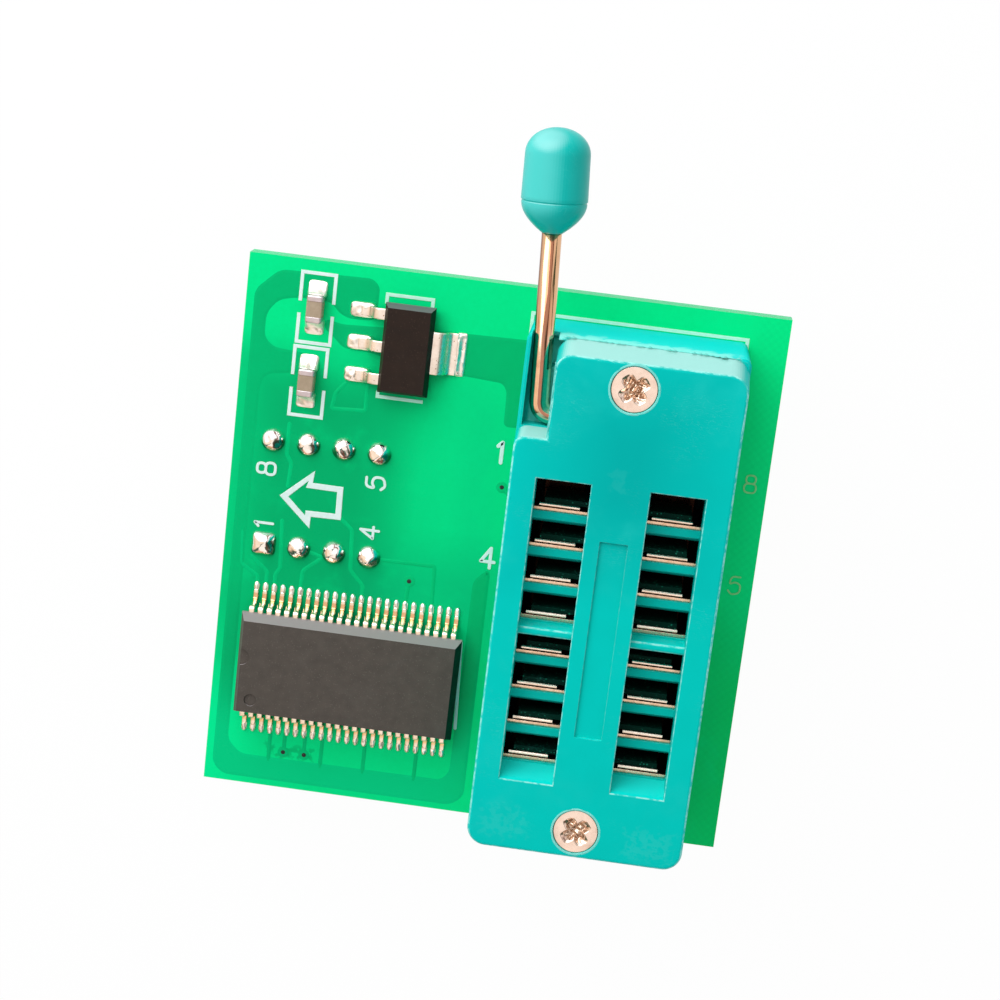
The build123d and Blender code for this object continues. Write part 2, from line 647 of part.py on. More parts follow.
def fixed_contact(x, number):
    """Sheet-metal contact: blade against its rib, foot under the moving blade, tail through the board."""
    y = contact_y(number)
    blade_low = BOARD_TOP + FOOT_TOP - BLADE_THICK
    neck = BOARD_TOP + BASE_FLOOR
    tail_end = BOARD_BOTTOM - TAIL_BELOW
    half = FIXED_WIDTH / 2
    tail = TAIL_WIDTH / 2
    outline = Polyline(
        (x - half, BOARD_TOP + BLADE_TOP),
        (x + half, BOARD_TOP + BLADE_TOP),
        (x + half, blade_low),
        (x + tail, neck),
        (x + tail, tail_end + tail),
        (x + tail * 0.4, tail_end),
        (x - tail * 0.4, tail_end),
        (x - tail, tail_end + tail),
        (x - tail, neck),
        (x - half, blade_low),
        close=True,
    )
    blade = extrude(Plane.XZ * make_face(outline), BLADE_THICK / 2, both=True)
    foot = block(
        x - MOVING_WIDTH / 2, x + MOVING_WIDTH / 2, 0, FOOT_REACH, blade_low, BOARD_TOP + FOOT_TOP
    )
    return Pos(0, y, 0) * (blade + foot)


def fixed_contacts(column):
    return group([fixed_contact(COLUMNS[column], n) for n in range(1, SOCKET_COUNT + 1)])


def moving_blade(x, number):
    """Short blade on the south face of its slider tooth, with broken top edges."""
    tooth_south, _ = tooth_limits(number)
    low = BOARD_TOP + MOVING_BOTTOM
    high = BOARD_TOP + BLADE_TOP
    west = x + MOVING_OFFSET - MOVING_WIDTH / 2
    blade = block(west, west + MOVING_WIDTH, tooth_south - BLADE_THICK, tooth_south, low, high)
    top_edge = blade.edges().filter_by(Axis.X).group_by(Axis.Z)[-1]
    return chamfer(top_edge, BLADE_THICK * 0.3)


def moving_contacts(column):
    return group([moving_blade(COLUMNS[column], n) for n in range(1, SOCKET_COUNT + 1)])


def contact_slider():
    """Comb-shaped slider: spine with a tooth in every slot, and a head with the crank's slot."""
    half = SPINE_WIDTH / 2
    low = BOARD_TOP + SPINE_LOW
    last_south, _ = tooth_limits(SOCKET_COUNT)
    slider = block(
        SOCKET_X - half, SOCKET_X + half, last_south, HEAD_SOUTH + 1, low, BOARD_TOP + SPINE_HIGH
    )
    reach = ROW_SPACING / 2 + MOVING_WIDTH / 2 - TOOTH_INSET
    for number in range(1, SOCKET_COUNT + 1):
        south, north = tooth_limits(number)
        slider = slider + block(
            SOCKET_X - reach, SOCKET_X + reach, south, north, BOARD_TOP + TOOTH_LOW, BOARD_TOP + TOOTH_HIGH
        )
    head = block(
        SOCKET_X - HEAD_WIDTH / 2, SOCKET_X + HEAD_WIDTH / 2, HEAD_SOUTH, HEAD_NORTH,
        low, BOARD_TOP + HEAD_HIGH,
    )
    slot = block(
        SOCKET_X - HEAD_WIDTH, SOCKET_X + HEAD_WIDTH, CRANK_Y - TROUGH_R, CRANK_Y + TROUGH_R,
        CRANK_FLOOR, BOARD_TOP + HEAD_HIGH + 1,
    )
    return slider + head - slot


def cover_screws():
    """Pan-headed screws with a cross recess."""
    crown = turned_screw()
    arm_a = Pos(0, 0, SCREW_HEAD_HEIGHT) * cross_arm()
    arm_b = Rot(0, 0, 90) * arm_a
    screw = crown - arm_a - arm_b
    seat = COVER_TOP - COUNTERBORE_DEPTH
    return group([Pos(SOCKET_X, y, seat) * Rot(0, 0, SCREW_TURN) * screw for y in SCREW_PLACES])


def turned_screw():
    """Head with a crowned top, its underside on Z = 0, and a shank with a blunt point."""
    edge = SCREW_HEAD_HEIGHT - SCREW_HEAD_CROWN
    rim = (SCREW_HEAD_R, edge)
    top = (0, SCREW_HEAD_HEIGHT)
    shoulder = (SCREW_HEAD_R * 0.62, SCREW_HEAD_HEIGHT - SCREW_HEAD_CROWN * 0.3)
    outline = ThreePointArc(rim, shoulder, top) + Polyline(
        top,
        (0, -SCREW_LENGTH),
        (SCREW_SHANK_R * 0.5, -SCREW_LENGTH),
        (SCREW_SHANK_R, -SCREW_LENGTH + SCREW_SHANK_R),
        (SCREW_SHANK_R, 0),
        (SCREW_HEAD_R, 0),
        rim,
    )
    return revolve(make_face(Plane.XZ * outline), Axis.Z)


def cross_arm():
    """One arm of the cross recess, tapering downwards from above the top of the head."""
    half = SCREW_CROSS_LENGTH / 2
    foot = half * 0.45
    over = SCREW_HEAD_CROWN
    outline = Polyline(
        (-half, over), (half, over), (foot, -SCREW_CROSS_DEPTH), (-foot, -SCREW_CROSS_DEPTH), close=True
    )
    return extrude(Plane.XZ * make_face(outline), SCREW_CROSS_WIDTH / 2, both=True)


def socket_solder():
    """Cones of solder round the socket's tails, under the board."""
    tail = Box(TAIL_WIDTH + 2 * TAIL_FIT, BLADE_THICK, 4 * TAIL_CONE_HEIGHT)
    cone = loft([
        RegularPolygon(DOME_R, TAIL_CONE_SIDES),
        Pos(0, 0, -TAIL_CONE_HEIGHT) * RegularPolygon(TAIL_WIDTH / 2 + TAIL_CONE_RIM, TAIL_CONE_SIDES),
    ])
    return group([Pos(x, y, BOARD_BOTTOM) * (cone - tail) for x, y in socket_places()])


# ------------------------------------------------------------------------ lever
def swung(shape):
    """Move a shape made in the closed pose, about the axle at Y = Z = 0, to its place at rest."""
    return Pos(0, AXLE_Y, AXLE_Z) * Rot(REST_ANGLE, 0, 0) * shape


def lever_rod():
    """Wire bent from the knob down to the axle, along it, and out and back to form the crank."""
    crank = CRANK_R * math.sin(math.radians(THROW / 2))
    crank_west = SOCKET_X - HEAD_WIDTH / 2 - CHANNEL_FLOOR_FIT
    crank_east = SOCKET_X + HEAD_WIDTH / 2 + CHANNEL_FLOOR_FIT
    reach = KNOB_START + ROD_IN_KNOB
    lean = math.radians(LEVER_LEAN)
    path = FilletPolyline(
        (LEVER_X - reach * math.sin(lean), reach * math.cos(lean), 0),
        (LEVER_X, 0, 0),
        (crank_west - JOG_LENGTH, 0, 0),
        (crank_west, -crank, -crank),
        (crank_east, -crank, -crank),
        (crank_east + JOG_LENGTH, 0, 0),
        (AXLE_END, 0, 0),
        radius=(BEND_R, JOG_BEND_R, JOG_BEND_R, JOG_BEND_R, JOG_BEND_R),
    )
    section = Plane(origin=path @ 0, z_dir=path % 0) * Circle(WIRE_R)
    rod = sweep(section, path=path)
    return swung(rod)


def lever_knob():
    """Knob turned about the rod: domed foot, grooved shoulder, tapered barrel and round top."""
    groove_low = KNOB_GROOVE_AT - KNOB_GROOVE
    groove_high = KNOB_GROOVE_AT + KNOB_GROOVE
    top_r = KNOB_R - KNOB_TAPER
    bore = WIRE_R + KNOB_FIT
    foot = (KNOB_NECK_R, 0)
    shoulder = (KNOB_SHOULDER_R, groove_low)
    barrel_low = (KNOB_R, groove_high)
    barrel_high = (top_r, KNOB_LENGTH - KNOB_DOME)
    tip = (KNOB_TIP_R, KNOB_LENGTH)
    bulge = (KNOB_TIP_R + (top_r - KNOB_TIP_R) * 0.68, KNOB_LENGTH - KNOB_DOME * 0.29)
    outline = ThreePointArc(foot, (KNOB_FOOT_R, KNOB_FOOT_AT), shoulder)
    outline += Polyline(
        shoulder,
        (KNOB_R - KNOB_GROOVE, KNOB_GROOVE_AT),
        barrel_low,
        barrel_high,
    )
    outline += ThreePointArc(barrel_high, bulge, tip)
    outline += Polyline(tip, (0, KNOB_LENGTH), (0, ROD_IN_KNOB), (bore, ROD_IN_KNOB), (bore, 0), foot)
    knob = revolve(make_face(Plane.XZ * outline), Axis.Z)
    along_rod = Pos(LEVER_X, 0, 0) * Rot(0, 0, LEVER_LEAN) * Pos(0, KNOB_START, 0)
    return swung(along_rod * Rot(-90, 0, 0) * knob)


# ------------------------------------------------------------------------ nodes
def main():
    os.makedirs("parts", exist_ok=True)
    write("circuit_board", circuit_board())
    for name, side in (("south", -1), ("north", 1)):
        write(f"header_bar_{name}", header_bar(side))
        write(f"header_pins_{name}", header_pins(side))
        write(f"level_shifter_leads_{name}", shifter_leads(side))
    write("header_solder", header_solder())
    write("level_shifter_body", shifter_body())
    write("regulator_body", regulator_body())
    write("regulator_leads", regulator_leads())
    write("regulator_tab", regulator_tab())
    write("regulator_solder", regulator_solder())
    for name, place in CAPACITOR_PLACES.items():
        write(f"{name}_capacitor_body", capacitor_body(place))
        write(f"{name}_capacitor_terminals", capacitor_terminals(place))
    write("capacitor_solder", capacitor_solder())
    write("socket_base", socket_base())
    write("socket_cover", socket_cover())
    write("cover_screws", cover_screws())
    write("socket_solder", socket_solder())
    write("contact_slider", contact_slider())
    for column in COLUMNS:
        write(f"fixed_contacts_{column}", fixed_contacts(column))
        write(f"moving_contacts_{column}", moving_contacts(column))
    write("lever_rod", lever_rod())
    write("lever_knob", lever_knob())


main()
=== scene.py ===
import bpy
import json
import numpy as np
from mathutils import Matrix, Vector
from mathutils.geometry import tessellate_polygon


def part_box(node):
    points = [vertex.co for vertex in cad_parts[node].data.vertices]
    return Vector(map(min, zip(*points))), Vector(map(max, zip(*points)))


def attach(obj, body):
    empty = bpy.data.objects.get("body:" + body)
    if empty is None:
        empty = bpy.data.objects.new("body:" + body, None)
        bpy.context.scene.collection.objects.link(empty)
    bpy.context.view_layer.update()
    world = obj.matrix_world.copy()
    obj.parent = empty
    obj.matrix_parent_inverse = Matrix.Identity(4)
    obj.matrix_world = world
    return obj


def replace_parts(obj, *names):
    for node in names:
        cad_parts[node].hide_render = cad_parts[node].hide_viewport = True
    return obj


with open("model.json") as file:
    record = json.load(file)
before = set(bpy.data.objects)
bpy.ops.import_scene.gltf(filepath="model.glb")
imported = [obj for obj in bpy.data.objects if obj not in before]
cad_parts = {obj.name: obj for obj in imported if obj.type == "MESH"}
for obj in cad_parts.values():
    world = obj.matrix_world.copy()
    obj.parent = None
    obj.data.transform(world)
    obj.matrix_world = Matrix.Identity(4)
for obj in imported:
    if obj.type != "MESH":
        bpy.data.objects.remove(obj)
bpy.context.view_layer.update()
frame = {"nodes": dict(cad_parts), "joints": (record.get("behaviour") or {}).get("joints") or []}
nodes = frame["nodes"]
mm = 0.001
print("frame loaded:", len(nodes), "CAD nodes")


def place(name):
    # lowest and highest corner of a CAD node, in millimetres
    low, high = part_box(name)
    return np.array(low) / mm, np.array(high) / mm


boardLow, boardHigh = place("circuit_board")
baseTop = place("socket_base")[1][2]
coverHigh = place("socket_cover")[1]
boardTop = boardHigh[2]
sunkBy = 0.01  # how deep a surface that stands on another one starts in it


def addObject(name, data, where=None, axes=None):
    # a new object in the scene, at the origin unless its place and its own three axes are given
    item = bpy.data.objects.new(name, data)
    if axes is not None:
        item.matrix_world = Matrix.Translation(where) @ Matrix(axes).transposed().to_4x4()
    bpy.context.scene.collection.objects.link(item)
    return item


cameraView = dict(
    place=(19.83, 37.54, 150.47),  # mm
    right=(0.9903, 0.1155, -0.0768), up=(-0.1304, 0.9643, -0.2304), back=(0.0474, 0.2381, 0.9701),
    lens=76.78, sensor=36.0,
    clip=(0.005, 10.0),  # metres
)


def addCamera(view):
    data = bpy.data.cameras.new("viewCamera")
    data.lens, data.sensor_width = view["lens"], view["sensor"]
    data.clip_start, data.clip_end = view["clip"]
    axes = (view["right"], view["up"], view["back"])
    bpy.context.scene.camera = addObject("viewCamera", data, np.array(view["place"]) * mm, axes)


addCamera(cameraView)
bpy.context.scene.view_settings.view_transform = "Standard"
print("camera set")


def rgb(red, green, blue):
    # display values 0-255 to linear colour
    value = np.array([red, green, blue]) / 255.0
    linear = np.where(value <= 0.04045, value / 12.92, ((value + 0.055) / 1.055) ** 2.4)
    return (*[float(part) for part in linear], 1.0)


# helpers that add one shader node each; a value may be a number, a tuple or another node's output
def setInputs(tree, node, inputs):
    for key, value in inputs.items():
        if isinstance(value, bpy.types.NodeSocket):
            tree.links.new(value, node.inputs[key])
        else:
            node.inputs[key].default_value = value


def addNode(tree, kind, inputs=None, **settings):
    node = tree.nodes.new("ShaderNode" + kind)
    for key, value in settings.items():
        setattr(node, key, value)
    setInputs(tree, node, inputs or {})
    return node


def calc(tree, operation, first, second=0.0, third=0.0):
    return addNode(tree, "Math", {0: first, 1: second, 2: third}, operation=operation).outputs[0]


def times(tree, first, *others):
    for other in others:
        first = calc(tree, "MULTIPLY", first, other)
    return first


def addVector(tree, operation, first, second=(0, 0, 0)):
    result = "Value" if operation == "DOT_PRODUCT" else 0
    return addNode(tree, "VectorMath", {0: first, 1: second}, operation=operation).outputs[result]


def addRange(tree, value, low, high, newLow=0.0, newHigh=1.0, smooth=False):
    inputs = {"Value": value, "From Min": low, "From Max": high, "To Min": newLow, "To Max": newHigh}
    return addNode(tree, "MapRange", inputs, interpolation_type="SMOOTHSTEP" if smooth else "LINEAR").outputs[0]


def addNoise(tree, vector, scale, detail=2.0, distortion=0.0):
    inputs = {"Vector": vector, "Scale": scale, "Detail": detail, "Distortion": distortion}
    return addNode(tree, "TexNoise", inputs).outputs[0]


def mixColour(tree, amount, *colours):
    # three numbers are display values, four are linear already
    first, second = (rgb(*c) if isinstance(c, tuple) and len(c) == 3 else c for c in colours)
    return addNode(tree, "Mix", {0: amount, 6: first, 7: second}, data_type="RGBA").outputs[2]


effects = {}


def sharedEffect(**inputs):
    # turns the function below it into a node group with these inputs and starting values; its outputs
    # are what the function returns, numbers all but the one called normal
    def makeGroup(build):
        tree = effects[build.__name__] = bpy.data.node_groups.new(build.__name__, "ShaderNodeTree")

        def addSocket(label, side, isNumber):
            kind = "NodeSocketFloat" if isNumber else "NodeSocketVector"
            return tree.interface.new_socket(name=label, in_out=side, socket_type=kind)

        for label, start in inputs.items():
            socket = addSocket(label, "INPUT", isinstance(start, float))
            if start is not None:
                socket.default_value = start
        given, result = tree.nodes.new("NodeGroupInput").outputs, tree.nodes.new("NodeGroupOutput").inputs
        for label, output in build(tree, **{label: given[label] for label in inputs}).items():
            addSocket(label, "OUTPUT", label != "normal")
            tree.links.new(output, result[label])
        return build
    return makeGroup


# effects that the materials share; vectors are in millimetres
@sharedEffect(vector=None, scale=8.0, coarse=0.8)
def fineGrain(tree, vector, scale, coarse):
    # fine and coarse noise together: the tooth of moulded plastic or lacquer
    fine = addNoise(tree, vector, scale, 3)
    blend = calc(tree, "MULTIPLY_ADD", addNoise(tree, vector, coarse), 0.6, times(tree, fine, 0.4))
    return {"shade": addRange(tree, blend, 0.3, 0.7), "height": fine}


@sharedEffect(vector=None, scale=0.3, amount=0.5)
def handledSmudge(tree, vector, scale, amount):
    # soft blotches where a wide and a small noise are high together: handling marks, dull patches
    wide = addRange(tree, addNoise(tree, vector, scale, 4, 0.6), 0.5, 0.72, smooth=True)
    small = addRange(tree, addNoise(tree, vector, times(tree, scale, 5), 3), 0.35, 0.65, 0.3, 1)
    return {"mask": times(tree, wide, small, amount)}


@sharedEffect(vector=None, scale=0.6, share=0.15, size=0.06)
def dustSpecks(tree, vector, scale, share, size):
    # cells of a Voronoi pattern; some of them, picked by their random colour, hold a round speck
    cells = addNode(tree, "TexVoronoi", {"Vector": vector, "Scale": scale}).outputs
    random = addNode(tree, "SeparateColor", {0: cells["Color"]}).outputs
    picked = calc(tree, "LESS_THAN", random[0], share)
    radius = times(tree, size, calc(tree, "ADD", random[1], 0.4))
    return {"mask": times(tree, picked, calc(tree, "LESS_THAN", cells["Distance"], radius))}


@sharedEffect(vector=None, scale=1.0, stretch=(12, 1, 1), amount=0.5)
def fineScratch(tree, vector, scale, stretch, amount):
    # thin level lines of a noise that is stretched along one direction and bent a little
    bend = addNode(tree, "TexNoise", {"Vector": vector, "Scale": 0.35, "Detail": 1}).outputs["Color"]
    moved = addVector(tree, "ADD", vector, addVector(tree, "MULTIPLY", bend, (1.6, 1.6, 1.6)))
    lines = addNoise(tree, addVector(tree, "MULTIPLY", moved, stretch), scale)
    thin = addRange(tree, calc(tree, "ABSOLUTE", calc(tree, "SUBTRACT", lines, 0.5)), 0, 0.02, 1, 0)
    patch = addRange(tree, addNoise(tree, vector, 0.22), 0.5, 0.68, smooth=True)
    return {"mask": times(tree, thin, patch, amount)}


@sharedEffect(vector=None, radius=0.00008, strength=1.0, ragged=4.0)
def softEdge(tree, vector, radius, strength, ragged):
    # the rounded normal differs from the true one only near an edge; noise makes that band ragged
    rounded = addNode(tree, "Bevel", {"Radius": radius}, samples=4).outputs[0]
    true = addNode(tree, "NewGeometry").outputs["Normal"]
    wearAndHighlight = addRange(tree, addVector(tree, "DOT_PRODUCT", rounded, true), 0.995, 0.8)
    broken = addRange(tree, addNoise(tree, vector, ragged, 3), 0.4, 0.6, 0.1, 1)
    return {"mask": times(tree, wearAndHighlight, broken, strength), "normal": rounded}


def trueNormal(tree):
    return addNode(tree, "NewGeometry").outputs["True Normal"]


def separate(tree, vector):
    return addNode(tree, "SeparateXYZ", {0: vector}).outputs


@sharedEffect(direction=(0, 1, 0), start=0.5)
def turnedTowards(tree, direction, start):
    # how far the surface turns towards one direction
    match = addVector(tree, "DOT_PRODUCT", trueNormal(tree), direction)
    return {"mask": addRange(tree, match, start, 0.97, smooth=True)}


@sharedEffect(vector=None, middle=(0, 0, 0), half=(1, 1, 1), soft=0.1)
def insideBox(tree, vector, middle, half, soft):
    # full inside a box given by its middle and half size, and gone just outside it
    away = addVector(tree, "ABSOLUTE", addVector(tree, "SUBTRACT", vector, middle))
    over = separate(tree, addVector(tree, "SUBTRACT", away, half))
    most = calc(tree, "MAXIMUM", calc(tree, "MAXIMUM", over[0], over[1]), over[2])
    return {"mask": addRange(tree, most, soft, times(tree, soft, -1))}


@sharedEffect(vector=None, ragged=2.0, lowest=0.42, highest=0.9)
def rubbedRimAndHighlight(tree, vector, ragged, lowest, highest):
    # facets leaning between upright and level, broken up by noise: a moulded edge's rubbed rim with a painted
    # highlight
    lean = separate(tree, trueNormal(tree))[2]
    low = addRange(tree, lean, lowest, calc(tree, "ADD", lowest, 0.06))
    high = addRange(tree, lean, highest, calc(tree, "ADD", highest, -0.06))
    broken = addRange(tree, addNoise(tree, vector, ragged, 4), 0.38, 0.6, 0.1, 1)
    return {"mask": times(tree, low, high, broken)}


@sharedEffect(vector=None, inside=0.0, scale=2.0)
def raggedPatch(tree, vector, inside, scale):
    # a box mask whose border is pushed in and out by noise until it is ragged
    start = calc(tree, "SUBTRACT", inside, 1.2)
    pushed = calc(tree, "MULTIPLY_ADD", addNoise(tree, vector, scale, 5), 2.4, start)
    return {"mask": addRange(tree, pushed, 0.5, 0.75)}


@sharedEffect(vector=None, pitch=0.5)
def glassWeave(tree, vector, pitch):
    # two crossing sine waves: the woven glass under the lacquer
    parts, turn = separate(tree, vector), calc(tree, "DIVIDE", 6.2832, pitch)
    across, along = (calc(tree, "SINE", times(tree, parts[k], turn)) for k in (0, 1))
    return {"height": calc(tree, "MULTIPLY_ADD", times(tree, across, along), 0.5, 0.5)}


print("shared effects built:", len(effects))


def useEffect(tree, effect, **inputs):
    node = tree.nodes.new("ShaderNodeGroup")
    node.node_tree = effects[effect]
    setInputs(tree, node, inputs)
    return node.outputs


def insideMask(tree, vector, box, soft):
    low, high = np.array(box, float)
    middle, half = ((high + low) / 2).tolist(), ((high - low) / 2).tolist()
    return useEffect(tree, "insideBox", vector=vector, middle=middle, half=half, soft=soft)["mask"]


def emptyTree(owner):
    # the node tree of a material or world, with nothing in it
    owner.use_nodes = True
    owner.node_tree.nodes.clear()
    return owner.node_tree


# what a look says unless it says otherwise; lengths are in mm, colours are display values
plainLook = dict(
    grainScale=8.0, coarseScale=0.8, smudgeScale=0.3, smudge=0.4, smudgeRough=0.15,
    bump=0.2, bumpDepth=0.01, metallic=0.0, specular=0.5,
    edge=None,  # strength, radius, raggedness, colour
    specks=None,  # scale, share of the cells, size, colour
    scratch=None,  # scale, stretch, amount, colour
    scratchRough=0.2, scratchDeep=-0.6,
    rim=0.0,  # share of the edge colour on the rubbed rims, a painted highlight as well as wear
    drift=(),  # box, softness, share, colour
    sides=(),  # painted light, shade and reflections on faces turned one way: direction, how near it starts, share, colour, and a box where it isn't everywhere
    sideSoft=0.3,
    patches=(),  # box, softness, scale, share, colour
    paintedShade=(),  # painted shade in hollows and low places, as drift but over everything else
)


def makeFinish(name, look, *dressed, extra=None):
    # a colour that drifts to a second one with the grain, then smudges, worn edges with a painted highlight,
    # specks, scratches, and tints by side and place, mostly painted light and shade; the CAD nodes named last
    # get the material
    look = {**plainLook, **look}
    material = bpy.data.materials.new(name)
    tree = emptyTree(material)
    shader = addNode(tree, "BsdfPrincipled")
    addNode(tree, "OutputMaterial", {0: shader.outputs[0]})
    coords = addNode(tree, "TexCoord").outputs["Object"]
    vector = addNode(tree, "Mapping", {"Vector": coords, "Scale": (1 / mm, 1 / mm, 1 / mm)}).outputs[0]

    def use(effect, **inputs):
        return useEffect(tree, effect, vector=vector, **inputs)

    def tinted(colour, mask, share, tint):
        return mixColour(tree, times(tree, mask, share), colour, tint)

    def tintedBoxes(colour, rows):
        for box, soft, share, tint in rows:
            colour = tinted(colour, insideMask(tree, vector, box, soft), share, tint)
        return colour

    grain = use("fineGrain", scale=look["grainScale"], coarse=look["coarseScale"])
    smudge = use("handledSmudge", scale=look["smudgeScale"], amount=look["smudge"])["mask"]
    main, second, smudged = look["colours"]
    colour = tintedBoxes(mixColour(tree, grain["shade"], main, second), look["drift"])
    colour = mixColour(tree, smudge, colour, smudged)
    bump = addNode(tree, "Bump", {"Strength": look["bump"], "Distance": look["bumpDepth"] * mm})
    # edges lightened with the edge colour: wear with a painted highlight
    if look["edge"]:
        strength, radius, ragged, edgeColour = look["edge"]
        edge = use("softEdge", radius=radius * mm, strength=strength, ragged=ragged)
        colour = mixColour(tree, edge["mask"], colour, edgeColour)
        tree.links.new(edge["normal"], bump.inputs["Normal"])
    roughness = addRange(tree, grain["shade"], 0, 1, *look["roughness"])
    roughness = calc(tree, "MULTIPLY_ADD", smudge, look["smudgeRough"], roughness)
    height = grain["height"]
    if look["specks"]:
        scale, share, size, tint = look["specks"]
        specks = use("dustSpecks", scale=scale, share=share, size=size)["mask"]
        colour = mixColour(tree, specks, colour, tint)
    if look["scratch"]:
        scale, stretch, amount, tint = look["scratch"]
        scratch = use("fineScratch", scale=scale, stretch=stretch, amount=amount)["mask"]
        colour = mixColour(tree, scratch, colour, tint)
        roughness = calc(tree, "MULTIPLY_ADD", scratch, look["scratchRough"], roughness)
        height = calc(tree, "MULTIPLY_ADD", scratch, look["scratchDeep"], height)
    # painted light and shade: a tint on the faces turned towards a direction
    for direction, start, share, tint, *boxes in look["sides"]:
        turned = useEffect(tree, "turnedTowards", direction=direction, start=start)["mask"]
        turned = times(tree, turned, *[insideMask(tree, vector, box, look["sideSoft"]) for box in boxes])
        colour = tinted(colour, turned, share, tint)
    for box, soft, scale, share, tint in look["patches"]:
        inside = insideMask(tree, vector, box, soft)
        patch = use("raggedPatch", inside=inside, scale=scale)["mask"]
        colour = tinted(colour, times(tree, patch, inside), share, tint)
    # rubbed rims lightened: wear with a painted highlight
    if look["rim"]:
        colour = tinted(colour, use("rubbedRimAndHighlight", ragged=ragged)["mask"], look["rim"], edgeColour)
    # painted shade laid over the rest
    colour = tintedBoxes(colour, look["paintedShade"])
    if extra:
        colour, height = extra(tree, vector, colour, height, look)
    tree.links.new(height, bump.inputs["Height"])
    inputs = {"Base Color": colour, "Roughness": roughness, "Normal": bump.outputs[0]}
    setInputs(tree, shader, {**inputs, "Metallic": look["metallic"], "Specular IOR Level": look["specular"]})
    for node in dressed:
        for holder in nodes[node].material_slots:
            holder.material = material
    return material


maskLook = dict(
    colours=((0, 231, 142), (0, 223, 133), (0, 226, 138)), roughness=(0.25, 0.33),
    grainScale=3.0, coarseScale=0.1, smudge=0.3, bump=0.08, bumpDepth=0.015, specular=0.05,
    specks=(0.42, 0.05, 0.03, (200, 240, 220)),
    # painted light and shade: wide soft areas lighter or darker, where the lamp's light falls off and the
    # socket's shadow lies
    drift=[
        (((-7, -9, 0), (6.5, 10, 9)), 2.4, 0.6, (0, 174, 106)),
        (((8.4, -9, 0), (14, 10, 9)), 2.4, 0.38, (0, 190, 126)),
        (((1.5, -9, 0), (14, -3.2, 9)), 2.2, 0.5, (0, 172, 114)),
        (((-5.5, -12, 0), (4.6, 9, 9)), 2.2, 0.6, (0, 154, 94)),
        (((28.5, -4, 0), (34, 22, 9)), 3.0, 0.45, (0, 250, 140)),
        (((28, -26, 0), (34, -7, 9)), 4.0, 0.5, (0, 190, 50)),
        (((-9, -25, 0), (-4.6, -14, 9)), 2.0, 0.6, (0, 245, 156)),
    ],
    patches=[(((-2.2, -19.9, 3.9), (1.3, -18.9, 4.4)), 0.6, 1.6, 0.6, (0, 120, 66))],
    laminate=((6, 196, 120), (40, 204, 136)), layers=(0.8, 0.8, 9.0), holeWall=(20, 60, 42),
    edgeIn=(0.1, 0.1, -1.0), weavePitch=0.62,
    weaveFrom=(28.8, 29.4),  # the bare margin east of the socket
    weaveShade=(0.08, (0, 150, 80)), weaveDeep=0.3,
)


def boardLayers(tree, vector, colour, height, look):
    # lacquer on the two faces, laminate round the outer edge, a dark wall in the holes
    wall = calc(tree, "LESS_THAN", calc(tree, "ABSOLUTE", separate(tree, trueNormal(tree))[2]), 0.5)
    inner = insideMask(tree, vector, (boardLow + look["edgeIn"], boardHigh - look["edgeIn"]), 0.02)
    layers = addNode(tree, "Mapping", {"Vector": vector, "Scale": look["layers"]}).outputs[0]
    laminate = mixColour(tree, addNoise(tree, layers, 1, 4), *look["laminate"])
    weave = useEffect(tree, "glassWeave", vector=vector, pitch=look["weavePitch"])["height"]
    weave = times(tree, weave, addRange(tree, separate(tree, vector)[0], *look["weaveFrom"]))
    share, tint = look["weaveShade"]
    colour = mixColour(tree, times(tree, weave, share), colour, tint)
    colour = mixColour(tree, wall, colour, mixColour(tree, inner, laminate, look["holeWall"]))
    return colour, calc(tree, "MULTIPLY_ADD", weave, look["weaveDeep"], height)


makeFinish("solderMask", maskLook, "circuit_board", extra=boardLayers)
pourLook = dict(
    maskLook,
    colours=((0, 186, 114), (0, 178, 107), (0, 194, 116)),
    # painted light: lighter over the pour's south part, where the lamp's light falls off
    drift=[(((-9, -25, 0), (14, -15.6, 9)), 2.4, 0.8, (0, 210, 136))],
    patches=(),
)
lacqueredPour = makeFinish("lacqueredPour", pourLook)
trackLook = dict(pourLook, colours=((0, 196, 122), (0, 188, 114), (0, 202, 128)), drift=())
lacqueredTrack = makeFinish("lacqueredTrack", trackLook)

inkLook = dict(
    colours=((232, 243, 242), (212, 236, 230), (176, 236, 208)), roughness=(0.5, 0.62),
    coarseScale=2.2, smudgeScale=0.5, smudge=0.3, bumpDepth=0.005, specular=0.2,
)
printInk = makeFinish("printInk", inkLook)
thinInk = makeFinish("thinInk", dict(inkLook, colours=((208, 247, 231), (184, 241, 216), (140, 226, 186))))
paleInk = makeFinish("paleInk", dict(inkLook, colours=((160, 220, 150), (120, 206, 126), (60, 190, 100))))

